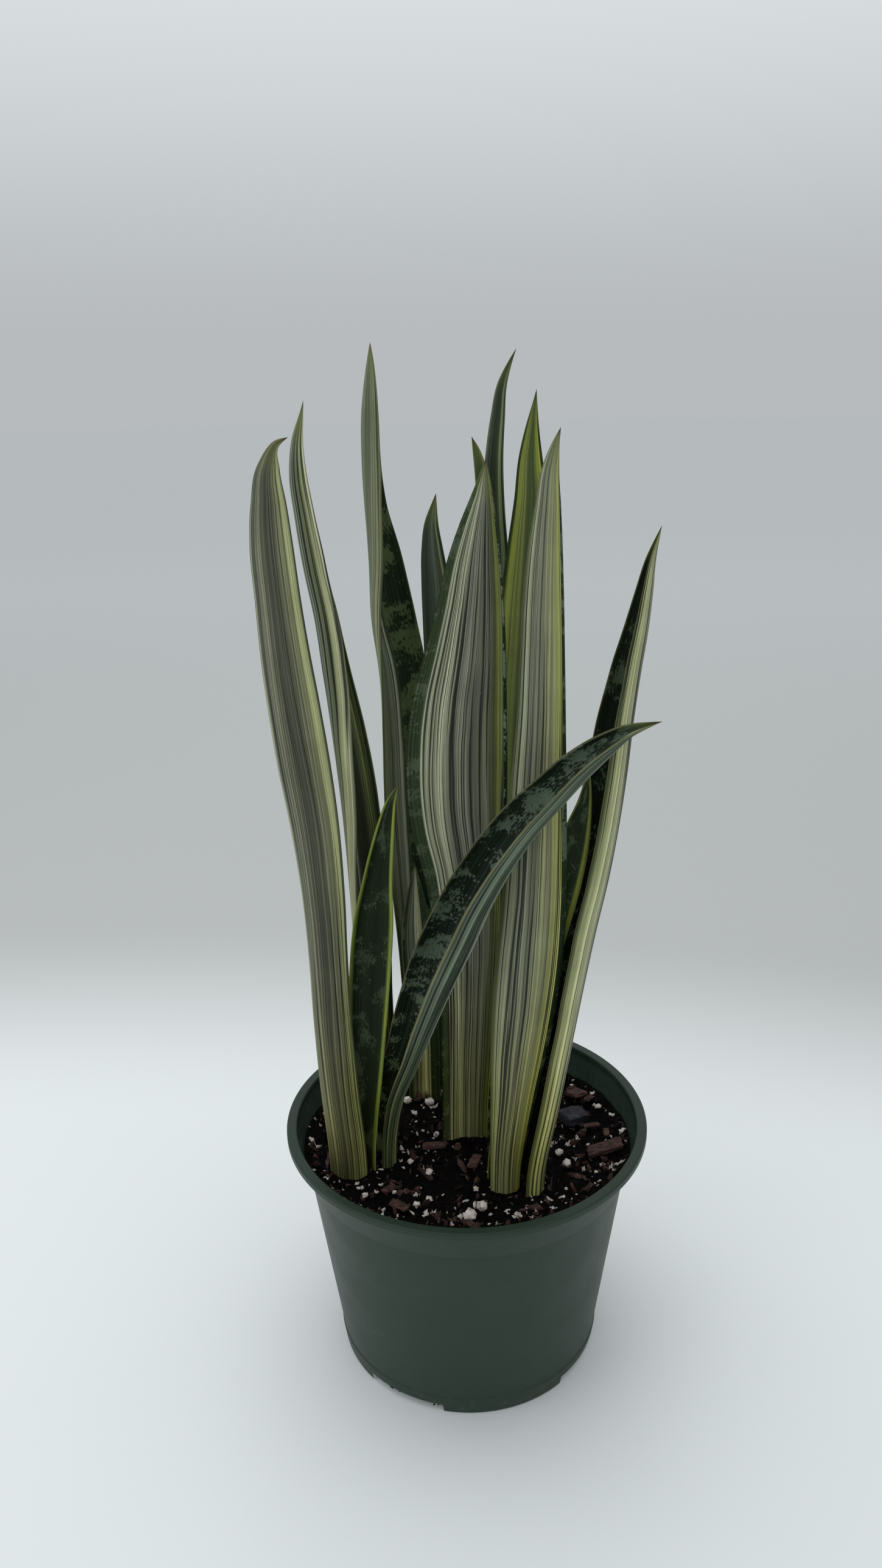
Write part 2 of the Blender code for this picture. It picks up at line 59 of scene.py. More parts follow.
MM = 0.001
LEAF_NODES = sorted(name for name in frame["nodes"] if name.startswith("leaf_"))
BARK_NODES = sorted(name for name in frame["nodes"] if name.startswith("bark_"))
PERLITE_NODES = sorted(name for name in frame["nodes"] if name.startswith("perlite_"))
SLOT_OF = {row["node"]: row["material_slot"] for row in frame["record"]["subparts"]}
print("leaves", len(LEAF_NODES), "bark chips", len(BARK_NODES), "perlite grains", len(PERLITE_NODES))

# %% [markdown]
# ## Objects and meshes
#
# Two small helpers: one puts an object into the scene, and one makes a mesh of a finished bmesh.

# %% Object helpers


def add_object(name, data):
    """Put a new object into the scene."""
    made = bpy.data.objects.new(name, data)
    bpy.context.scene.collection.objects.link(made)
    return made


def mesh_of(name, shape):
    """Make a mesh of a finished bmesh."""
    mesh = bpy.data.meshes.new(name)
    shape.to_mesh(mesh)
    shape.free()
    return mesh


print("object helpers ready")

# %% [markdown]
# ## Building node trees
#
# Materials and Geometry Nodes are both trees of nodes joined by links. `fill` gives a node's sockets
# their values or links, and `place` adds a node and fills it. A `Value` is a number that some node
# gives: adding to it or multiplying it adds a Math node, so a tree's sums can be written as sums.

# %% Node helpers


class Value:
    """A number that a node gives. Arithmetic with it adds Math nodes to its tree."""

    def __init__(self, tree, socket):
        self.tree = tree
        self.socket = socket

    def __add__(self, other):
        return maths(self.tree, "ADD", self, other)

    def __sub__(self, other):
        return maths(self.tree, "SUBTRACT", self, other)

    def __rsub__(self, other):
        return maths(self.tree, "SUBTRACT", other, self)

    def __mul__(self, other):
        return maths(self.tree, "MULTIPLY", self, other)

    def __truediv__(self, other):
        return maths(self.tree, "DIVIDE", self, other)

    def __rtruediv__(self, other):
        return maths(self.tree, "DIVIDE", other, self)

    def __pow__(self, other):
        return maths(self.tree, "POWER", self, other)

    def __abs__(self):
        return maths(self.tree, "ABSOLUTE", self)


def fill(tree, node, inputs):
    """Fill a node's input sockets with values or links."""
    for key, value in inputs.items():
        if isinstance(value, Value):
            value = value.socket
        if isinstance(value, bpy.types.NodeSocket):
            tree.links.new(value, node.inputs[key])
        else:
            node.inputs[key].default_value = value


def place(tree, kind, inputs=None, **settings):
    """Add a node, set its options, and fill its input sockets."""
    made = tree.nodes.new(kind)
    for name, value in settings.items():
        setattr(made, name, value)
    fill(tree, made, inputs or {})
    return made


def maths(tree, operation, first, second=0.0):
    """One Math node's value, in a material or in Geometry Nodes."""
    made = place(tree, "ShaderNodeMath", {0: first, 1: second}, operation=operation)
    return Value(tree, made.outputs[0])


print("node helpers ready")

# %% [markdown]
# Nearly every tree maps a value to a range, or mixes two colours. Each of these helpers places the
# one node that does it.

# %% Mixing helpers


def between(value, low, high, start=0.0, end=1.0):
    """Map low..high to start..end, with soft ends, and clamped."""
    values = {0: value, 1: low, 2: high, 3: start, 4: end}
    made = place(value.tree, "ShaderNodeMapRange", values, interpolation_type="SMOOTHSTEP")
    return Value(value.tree, made.outputs[0])


def blend_colour(tree, factor, first, second, mode="MIX"):
    """One Mix node's colour: the first at factor 0, the second at factor 1."""
    values = {0: factor, 6: first, 7: second}
    return place(tree, "ShaderNodeMix", values, data_type="RGBA", blend_type=mode).outputs[2]


print("mixing helpers ready")

# %% [markdown]
# Every finish starts from the Principled shader, and reads the object's own coordinates.

# %% New materials


def new_material(name, roughness, specular):
    """A material with its Principled shader, and the object's own coordinates."""
    material = bpy.data.materials.new(name)
    material.use_nodes = True
    tree = material.node_tree
    surface = tree.nodes["Principled BSDF"]
    fill(tree, surface, {"Roughness": roughness, "Specular IOR Level": specular})
    coordinates = tree.nodes.new("ShaderNodeTexCoord").outputs["Object"]
    return material, tree, surface, coordinates


print("finishes can be made")

# %% [markdown]
# ## The camera
#
# The plant is seen from a little above and from close by, on an upright picture, as by someone who
# stands at the table. The lens is short, so the pot tapers strongly towards its foot.

# %% Camera
CAMERA_PLACE = (-8.2 * MM, -431.0 * MM, 402.9 * MM)
CAMERA_PITCH = 18.92
CAMERA_ROLL = -1.05
LENS = 27.06
NEAREST = 10 * MM

camera_data = bpy.data.cameras.new("camera")
camera_data.lens = LENS
camera_data.clip_start = NEAREST
camera = add_object("camera", camera_data)
camera.location = CAMERA_PLACE
camera.rotation_mode = "QUATERNION"
tilt = Quaternion((1.0, 0.0, 0.0), math.radians(90.0 - CAMERA_PITCH))
camera.rotation_quaternion = tilt @ Quaternion((0.0, 0.0, 1.0), math.radians(CAMERA_ROLL))
bpy.context.scene.camera = camera
print("camera at", CAMERA_PLACE, "pitched down", CAMERA_PITCH, "degrees")

# %% [markdown]
# ## Light and floor
#
# The plant stands on a pale floor in even, slightly cool studio light. The world gives most of the
# light and is the pale background. A large soft lamp above adds a little direction. The floor is a
# wide disc with a painted pool of light around the plant and a band of painted shade beyond it.
# Farther out its colour meets the background, so no horizon shows.

# %% Studio
FLOOR_RADIUS = 12.0
FLOOR_SIDES = 96
BRIGHT_CENTRE = (-0.25, -1.55, 0.0)
BRIGHT_NEAR = 1.70
BRIGHT_FAR = 1.97
SHADE_END = 3.8
FLOOR_BRIGHT = (0.775, 0.785, 0.79, 1.0)
FLOOR_SHADE = (0.475, 0.475, 0.472, 1.0)
FLOOR_FAR = (0.63, 0.635, 0.64, 1.0)
SKY_FROM, SKY_TO = 0.02, 0.32
SKY_LOW = (0.472, 0.495, 0.507, 1.0)
SKY_HIGH = (0.715, 0.762, 0.775, 1.0)
LAMP_TARGET = Vector((0.0, 0.0, 0.15))

world = bpy.data.worlds.new("studio")
bpy.context.scene.world = world
world.use_nodes = True
sky = world.node_tree
heading = sky.nodes.new("ShaderNodeTexCoord").outputs[0]
height_above = place(sky, "ShaderNodeSeparateXYZ", {0: heading}).outputs[2]
climb = between(Value(sky, height_above), SKY_FROM, SKY_TO)
glow = blend_colour(sky, climb, SKY_LOW, SKY_HIGH)
fill(sky, sky.nodes["Background"], {"Color": glow, "Strength": 1.0})


def add_lamp(name, location, size, power, colour):
    """A square area lamp that faces the plant."""
    data = bpy.data.lights.new(name, "AREA")
    data.shape = "SQUARE"
    data.size = size
    data.energy = power
    data.color = colour
    lamp = add_object(name, data)
    lamp.location = location
    aim = LAMP_TARGET - Vector(location)
    lamp.rotation_mode = "QUATERNION"
    lamp.rotation_quaternion = aim.to_track_quat("-Z", "Y")


add_lamp("ceiling_softbox", (-0.15, 0.25, 1.35), size=1.3, power=6.2, colour=(0.98, 1.0, 1.0))
add_lamp("left_softbox", (-1.1, -0.5, 0.8), size=0.9, power=2.2, colour=(0.97, 1.0, 1.0))

floor_shape = bmesh.new()
bmesh.ops.create_circle(floor_shape, cap_ends=True, segments=FLOOR_SIDES, radius=FLOOR_RADIUS)
floor = add_object("floor", mesh_of("floor", floor_shape))
floor_paint, tree, surface, coordinates = new_material("floor_paint", 0.7, 0.2)
values = {0: coordinates, 1: BRIGHT_CENTRE}
distance = place(tree, "ShaderNodeVectorMath", values, operation="DISTANCE").outputs["Value"]
distance = Value(tree, distance)
# Painted light and painted shade: the floor is bright near a point in front of the plant, darker in a band
# farther off, then the far colour.
far = blend_colour(tree, between(distance, BRIGHT_FAR, SHADE_END), FLOOR_SHADE, FLOOR_FAR)
pale = blend_colour(tree, between(distance, BRIGHT_NEAR, BRIGHT_FAR), FLOOR_BRIGHT, far)
fill(tree, surface, {"Base Color": pale})
floor.data.materials.append(floor_paint)
bpy.context.scene.view_settings.view_transform = "Standard"
print("floor of radius", FLOOR_RADIUS, "m, two soft lamps")

# %% [markdown]
# ## Reading a leaf
#
# Each leaf of the model is a loft: fifteen rings of fourteen points, from the root to a point at the
# tip. Its triangles come loose, so a copy is merged first. The tip is the one point with fourteen
# neighbours. From there, a walk outwards finds ring after ring. In each ring, seven points lie on
# the outer side from edge to edge, and seven on the inner side.

# %% Leaf rings
RING_SIZE = 14
SIDE_SIZE = 7
MERGE = 0.00001


def merged_copy(node):
    """A bmesh of a model node with its loose triangles joined."""
    shape = bmesh.new()
    shape.from_mesh(frame["nodes"][node].data)
    bmesh.ops.remove_doubles(shape, verts=shape.verts, dist=MERGE)
    return shape


def ring_in_order(members):
    """Order a ring's points by walking along the edges that bound it."""
    inside = set(members)
    start = members[0]
    order = [start]
    while len(order) < len(members):
        for edge in order[-1].link_edges:
            other = edge.other_vert(order[-1])
            borders = any(set(face.verts) - inside for face in edge.link_faces)
            if other in inside and other not in order and borders:
                order.append(other)
                break
    return np.array([point.co for point in order])


def matched(ring, model):
    """Turn or flip a ring so that its points follow those of a neighbour ring."""
    best = None
    centred = (ring - ring.mean(0)) / np.ptp(ring, axis=0).max()
    target = (model - model.mean(0)) / np.ptp(model, axis=0).max()
    for order in (np.arange(RING_SIZE), np.arange(RING_SIZE)[::-1]):
        for shift in range(RING_SIZE):
            picked = np.roll(order, shift)
            error = ((centred[picked] - target) ** 2).sum()
            if best is None or error < best[0]:
                best = (error, picked)
    return ring[best[1]]


def read_leaf(node):
    """Rings of a leaf from root to tip, each outer side then inner side, and the tip."""
    shape = merged_copy(node)
    tip = max(shape.verts, key=lambda point: len(point.link_edges))
    seen = {tip}
    level = [tip]
    rings = []
    while True:
        level = list({edge.other_vert(point) for point in level for edge in point.link_edges} - seen)
        if not level:
            break
        level.sort(key=lambda point: point.index)
        seen.update(level)
        rings.append(ring_in_order(level))
    rings.reverse()
    widest = max(range(len(rings)), key=lambda index: np.ptp(rings[index], axis=0).max())
    ring = rings[widest]
    sides = np.linalg.norm(ring - np.roll(ring, -1, axis=0), axis=1)
    ring = np.roll(ring, -(int(np.argmin(sides)) + 1), axis=0)
    keel = (ring[SIDE_SIZE // 2] + ring[SIDE_SIZE + SIDE_SIZE // 2]) / 2
    edges = (ring[0] + ring[SIDE_SIZE - 1]) / 2
    opening = edges - keel
    if (ring[SIDE_SIZE // 2] - ring[SIDE_SIZE + SIDE_SIZE // 2]) @ opening > 0:
        ring = np.roll(ring, SIDE_SIZE, axis=0)
    course = rings[min(widest + 1, len(rings) - 1)].mean(0) - rings[widest - 1].mean(0)
    if (ring[SIDE_SIZE - 1] - ring[0]) @ np.cross(course, opening) < 0:
        ring = np.roll(ring[::-1], SIDE_SIZE, axis=0)
    rings[widest] = ring
    for index in range(widest + 1, len(rings)):
        rings[index] = matched(rings[index], rings[index - 1])
    for index in range(widest - 1, -1, -1):
        rings[index] = matched(rings[index], rings[index + 1])
    top = np.array(tip.co)
    shape.free()
    return np.array(rings), top


example_rings, example_tip = read_leaf("leaf_centre_wide")
print("leaf_centre_wide:", example_rings.shape[0], "rings, tip at", example_tip.round(4))

# %% [markdown]
# ## A fine leaf
#
# A smooth curve through the rings gives as many rows as wanted, closer together towards the tip. A
# second one goes across each row. Between the two sides the leaf is thickest at the keel, and its
# edges are round. Every point also remembers where it is on the blade: `across` runs from one edge
# (-1) to the other (+1), `along` is the length from the soil in metres, and `share` the same as a
# share of the blade. `fold` is the direction in which the blade's channel opens. The stripes will
# follow these, as a real leaf's stripes follow its veins.

# %% Leaf blades
BLADE_ROWS = 190
SIDE_POINTS = 45
EDGE_START = 0.955
EDGE_POINTS = 4
TIP_CROWDING = 1.25


def through(points, places, wanted):
    """Read a smooth curve through points, given at places, at the wanted places."""
    slopes = np.gradient(points, places, axis=0)
    spans = np.clip(np.searchsorted(places, wanted, side="right") - 1, 0, len(places) - 2)
    length = places[spans + 1] - places[spans]
    part = (wanted - places[spans]) / length
    shape = (-1,) + (1,) * (points.ndim - 1)
    part, length = part.reshape(shape), length.reshape(shape)
    start = points[spans] * (1 + 2 * part) * (1 - part) ** 2
    end = points[spans + 1] * part ** 2 * (3 - 2 * part)
    bend = slopes[spans] * part * (1 - part) ** 2 + slopes[spans + 1] * part ** 2 * (part - 1)
    return start + end + bend * length


def side_places():
    """Places across a side, from edge to edge, crowded where the edge turns round."""
    turn = np.sin(np.linspace(0.0, math.pi / 2, EDGE_POINTS + 1))[1:]
    edge = EDGE_START + (1.0 - EDGE_START) * turn
    return np.concatenate((-edge[::-1], np.linspace(-EDGE_START, EDGE_START, SIDE_POINTS), edge))


def fine_leaf(node, soil_height):
    """A leaf's fine mesh, lofted through the model's rings."""
    rings, tip = read_leaf(node)
    outer, inner = rings[:, :SIDE_SIZE], rings[:, SIDE_SIZE:][:, ::-1]
    middle = np.concatenate(((outer + inner) / 2, np.repeat(tip[None, None], SIDE_SIZE, axis=1)))
    half = np.concatenate(((outer - inner) / 2, np.zeros((1, SIDE_SIZE, 3))))
    keel = middle[:, SIDE_SIZE // 2]
    places = np.concatenate(([0.0], np.cumsum(np.linalg.norm(np.diff(keel, axis=0), axis=1))))
    rows = places[-1] * (1.0 - (1.0 - np.linspace(0.0, 1.0, BLADE_ROWS)) ** TIP_CROWDING)[:-1]
    middle, half = through(middle, places, rows), through(half, places, rows)
    across = side_places()
    model_across = np.linspace(-1.0, 1.0, SIDE_SIZE)
    middle = through(middle.swapaxes(0, 1), model_across, across).swapaxes(0, 1)
    half = through(half.swapaxes(0, 1), model_across, across).swapaxes(0, 1)
    over = np.clip((np.abs(across) - EDGE_START) / (1.0 - EDGE_START), 0.0, 1.0)
    half = half * np.sqrt(1.0 - over ** 2)[None, :, None]
    ring_across = np.concatenate((across, across[-2:0:-1]))
    points = np.concatenate((middle + half, (middle - half)[:, -2:0:-1]), axis=1)
    count = points.shape[1]
    fold = (middle[:, 0] + middle[:, -1]) / 2 - middle[:, len(across) // 2]
    fold /= np.linalg.norm(fold, axis=1)[:, None] + 1e-9
    total = len(rows)
    grid = np.arange(total * count).reshape(total, count)
    following = np.roll(grid, -1, axis=1)
    quads = np.stack((grid[:-1], following[:-1], following[1:], grid[1:]), axis=-1).reshape(-1, 4)
    pole = total * count
    last = np.stack((grid[-1], following[-1], np.full(count, pole)), axis=-1)
    half_count = count // 2
    cap = [(i, i - 1, count - i + 1, count - i) for i in range(half_count - 1, 1, -1)]
    cap += [(half_count, half_count - 1, half_count + 1), (1, 0, count - 1)]
    faces = quads.tolist() + last.tolist() + cap
    mesh = bpy.data.meshes.new(node)
    mesh.from_pydata(np.vstack((points.reshape(-1, 3), tip)).tolist(), [], faces)
    soil_start = np.interp(soil_height, keel[:, 2], places)
    along = rows - soil_start
    share = np.clip(along / (places[-1] - soil_start), 0.0, 1.0)
    per_point = {
        "across": (np.tile(ring_across, total), 0.0),
        "along": (np.repeat(along, count), places[-1] - soil_start),
        "share": (np.repeat(share, count), 1.0),
    }
    for name, (values, end) in per_point.items():
        data = mesh.attributes.new(name, "FLOAT", "POINT").data
        data.foreach_set("value", np.append(values, end).astype(np.float32))
    data = mesh.attributes.new("fold", "FLOAT_VECTOR", "POINT").data
    data.foreach_set("vector", np.append(np.repeat(fold, count, axis=0), [[0, 0, 0]], axis=0).ravel())
    return face_outwards(mesh)


def face_outwards(mesh):
    """Turn a closed mesh's faces round if they point inwards."""
    shape = bmesh.new()
    shape.from_mesh(mesh)
    if shape.calc_volume(signed=True) < 0:
        bmesh.ops.reverse_faces(shape, faces=shape.faces)
    shape.to_mesh(mesh)
    shape.free()
    mesh.shade_smooth()
    return mesh


SOIL_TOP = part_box("soil")[1].z
print("soil stands", round(SOIL_TOP / MM, 1), "mm high in the pot")

# %% [markdown]
# ## Ribs and ripples
#
# A snake plant's leaf is not smooth. Long shallow ribs run up it over the fibres, and its edges wave
# a little. Both follow the blade, so Geometry Nodes make them: one tree moves every point along its
# normal by a stretched noise, and the edges towards the fold by a slow one. The tree is built once,
# and each leaf sets its own seed.

# %% Tree helpers


def open_group(name, kind, inputs, outputs):
    """Start a node group: its tree, its inputs by name, and its output node."""
    tree = bpy.data.node_groups.new(name, kind)
    for label, socket, value in inputs:
        made = tree.interface.new_socket(label, in_out="INPUT", socket_type="NodeSocket" + socket)
        if value is not None:
            made.default_value = value
    for label, socket in outputs:
        tree.interface.new_socket(label, in_out="OUTPUT", socket_type="NodeSocket" + socket)
    entry = tree.nodes.new("NodeGroupInput")
    given = {socket.name: Value(tree, socket) for socket in entry.outputs}
    return tree, given, tree.nodes.new("NodeGroupOutput")


def vector_of(tree, x, y, z):
    """A vector from three numbers or links."""
    return place(tree, "ShaderNodeCombineXYZ", {0: x, 1: y, 2: z}).outputs[0]


def scaled(tree, vector, factor):
    """A vector times a number."""
    values = {0: vector, "Scale": factor}
    return place(tree, "ShaderNodeVectorMath", values, operation="SCALE").outputs[0]


def summed(tree, first, second):
    """The sum of two vectors."""
    return place(tree, "ShaderNodeVectorMath", {0: first, 1: second}, operation="ADD").outputs[0]


def noise_of(tree, vector, scale=1.0, detail=2.0, roughness=0.5):
    """A Noise Texture's value."""
    values = {"Vector": vector, "Scale": scale, "Detail": detail, "Roughness": roughness}
    return Value(tree, place(tree, "ShaderNodeTexNoise", values).outputs[0])


def attribute(tree, name, kind="FLOAT"):
    """In Geometry Nodes, what each point carries under a name."""
    made = place(tree, "GeometryNodeInputNamedAttribute", {"Name": name}, data_type=kind)
    return Value(tree, made.outputs["Attribute"])


print("tree helpers ready")

# %% Relief tree


def build_relief_tree():
    """Geometry Nodes: lengthwise ribs and waving edges on a leaf blade."""
    tree, given, output = open_group("blade_relief", "GeometryNodeTree", (
        ("Geometry", "Geometry", None),
        ("Rib Height", "Float", 0.25 * MM),
        ("Rib Count", "Float", 9.0),
        ("Ripple Height", "Float", 1.1 * MM),
        ("Ripple Length", "Float", 26.0 * MM),
        ("Seed", "Float", 0.0),
        ("Material", "Material", None),
    ), (("Geometry", "Geometry"),))
    across, along, share = (attribute(tree, name) for name in ("across", "along", "share"))
    ribs = vector_of(tree, across * given["Rib Count"], along, given["Seed"])
    rib = (noise_of(tree, ribs, 1.0, 2.0, 0.6) - 0.5) * between(abs(across), 0.96, 0.80)
    normal = tree.nodes.new("GeometryNodeInputNormal").outputs[0]
    lift = scaled(tree, normal, rib * given["Rib Height"])
    side = maths(tree, "SIGN", across) * 9.0
    ripples = vector_of(tree, side, along / given["Ripple Length"], given["Seed"])
    wave = (noise_of(tree, ripples, 1.0, 1.0, 0.5) - 0.5) * given["Ripple Height"]
    ends = between(share, 0.06, 0.25) * between(share, 0.99, 0.80)
    sway = scaled(tree, attribute(tree, "fold", "FLOAT_VECTOR"), wave * abs(across) ** 3.0 * ends)
    values = {"Geometry": given["Geometry"], "Offset": summed(tree, lift, sway)}
    moved = place(tree, "GeometryNodeSetPosition", values)
    finish_tree(tree, moved.outputs[0], given["Material"], output)
    return tree


def finish_tree(tree, geometry, material, output):
    """End a Geometry Nodes tree: real geometry, one material, smooth faces."""
    real = place(tree, "GeometryNodeRealizeInstances", {0: geometry}).outputs[0]
    smooth = place(tree, "GeometryNodeSetShadeSmooth", {"Geometry": real}).outputs[0]
    values = {"Geometry": smooth, "Material": material}
    fill(tree, output, {0: place(tree, "GeometryNodeSetMaterial", values).outputs[0]})


def run_tree(name, mesh, group, settings):
    """Put a mesh through a Geometry Nodes tree and give back a plain mesh."""
    source = add_object(name, mesh)
    modifier = source.modifiers.new(group.name, "NODES")
    modifier.node_group = group
    for item in group.interface.items_tree:
        if item.in_out == "INPUT" and item.name in settings:
            modifier[item.identifier] = settings[item.name]
    bpy.context.view_layer.update()
    evaluated = source.evaluated_get(bpy.context.evaluated_depsgraph_get())
    result = bpy.data.meshes.new_from_object(evaluated)
    bpy.data.objects.remove(source)
    result.name = name
    return result


def add_piece(name, mesh, slot, *nodes):
    """Show a finished mesh as a piece that stands for model nodes."""
    piece = add_object(name, mesh)
    if nodes:
        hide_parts(*nodes)
    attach(piece, BODY)


relief_tree = build_relief_tree()
print("relief tree:", len(relief_tree.nodes), "nodes")

# %% [markdown]
# ## Effects that several finishes share
#
# Four shader groups are made once, and each material places them with its own values. `streaks`
# gives long thin lines and broad bands along a blade. `patches` gives the ragged crossbands of
# dark-green tissue. `specks` gives fine dust, and `blotches` slow, cloudy variation. Most materials
# want the last two, so `clouded` and `flecks` place them.

# %% Shader groups


def build_streaks():
    """Lightness of the fine streaks along a blade, and a mask of its few bold dark lines."""
    tree, given, output = open_group("streaks", "ShaderNodeTree", (
        ("Across", "Float", 0.5), ("Along", "Float", 0.0), ("Count", "Float", 40.0),
        ("Contrast", "Float", 1.5), ("Seed", "Float", 0.0),
    ), (("Lightness", "Float"), ("Lines", "Float")))
    drift = given["Along"] * 5.0
    fine = vector_of(tree, given["Across"] * given["Count"], drift, given["Seed"])
    level = between(noise_of(tree, fine, 1.0, 3.0, 0.65), 0.36, 0.64, -1.0, 1.0)
    columns = given["Count"] * 0.45
    bold = vector_of(tree, given["Across"] * columns, drift * 0.5, given["Seed"] + 7.0)
    ridge = abs(noise_of(tree, bold, 1.0, 1.0, 0.5) - 0.5)
    breaks = noise_of(tree, bold, 2.3, 2.0, 0.5)
    fill(tree, output, {
        "Lightness": given["Contrast"] ** level,
        "Lines": between(ridge, 0.062, 0.022) * between(breaks, 0.34, 0.46),
    })
    return tree


def build_patches():
    """A mask of ragged patches that lie across a blade, made of fine flecks."""
    tree, given, output = open_group("patches", "ShaderNodeTree", (
        ("Across", "Float", 0.5), ("Along", "Float", 0.0), ("Length", "Float", 9.0 * MM),
        ("Amount", "Float", 0.5), ("Seed", "Float", 0.0),
    ), (("Mask", "Float"),))
    steps = given["Along"] / given["Length"]
    wide = vector_of(tree, given["Across"] * 1.8, steps, given["Seed"])
    large = noise_of(tree, wide, 1.0, 3.0, 0.6)
    narrow = vector_of(tree, given["Across"] * 34.0, steps * 7.0, 0.0)
    small = noise_of(tree, narrow, 1.0, 2.0, 0.6)
    low = 0.66 - given["Amount"] * 0.24
    fill(tree, output, {"Mask": between(large + (small - 0.5) * 0.5, low, low + 0.07)})
    return tree


def build_specks():
    """A mask of small, sparse flecks, for dust and grit."""
    tree, given, output = open_group("specks", "ShaderNodeTree", (
        ("Vector", "Vector", None), ("Scale", "Float", 600.0), ("Amount", "Float", 0.5),
    ), (("Mask", "Float"),))
    values = {"Vector": given["Vector"], "Scale": given["Scale"]}
    dots = Value(tree, place(tree, "ShaderNodeTexVoronoi", values).outputs["Distance"])
    near = between(dots, given["Amount"] * 0.30, 0.0)
    where = noise_of(tree, given["Vector"], 70.0, 2.0, 0.6)
    fill(tree, output, {"Mask": near * between(where, 0.48, 0.66)})
    return tree


def build_blotches():
    """A cloudy value around 1, for uneven colour."""
    tree, given, output = open_group("blotches", "ShaderNodeTree", (
        ("Vector", "Vector", None), ("Scale", "Float", 40.0), ("Depth", "Float", 0.2),
    ), (("Value", "Float"),))
    cloud = noise_of(tree, given["Vector"], given["Scale"], 4.0, 0.6)
    values = {0: cloud, 1: 0.3, 2: 0.7, 3: 1.0 - given["Depth"], 4: given["Depth"] + 1.0}
    fill(tree, output, {"Value": place(tree, "ShaderNodeMapRange", values).outputs[0]})
    return tree


streaks = build_streaks()
patches = build_patches()
specks = build_specks()
blotches = build_blotches()


def use_group(tree, group, inputs):
    """Place a shader group in a material's tree, and give its outputs by name."""
    made = tree.nodes.new("ShaderNodeGroup")
    made.node_tree = group
    fill(tree, made, inputs)
    return {socket.name: Value(tree, socket) for socket in made.outputs}


def clouded(tree, colour, coordinates, scale, depth):
    """A colour made uneven by the shared blotches."""
    values = {"Vector": coordinates, "Scale": scale, "Depth": depth}
    cloud = use_group(tree, blotches, values)["Value"]
    return blend_colour(tree, 1.0, colour, vector_of(tree, cloud, cloud, cloud), "MULTIPLY")


def flecks(tree, coordinates, scale, amount):
    """The shared specks, as a mask."""
    return use_group(tree, specks, {"Vector": coordinates, "Scale": scale, "Amount": amount})["Mask"]


print("shader groups:", streaks.name, patches.name, specks.name, blotches.name)
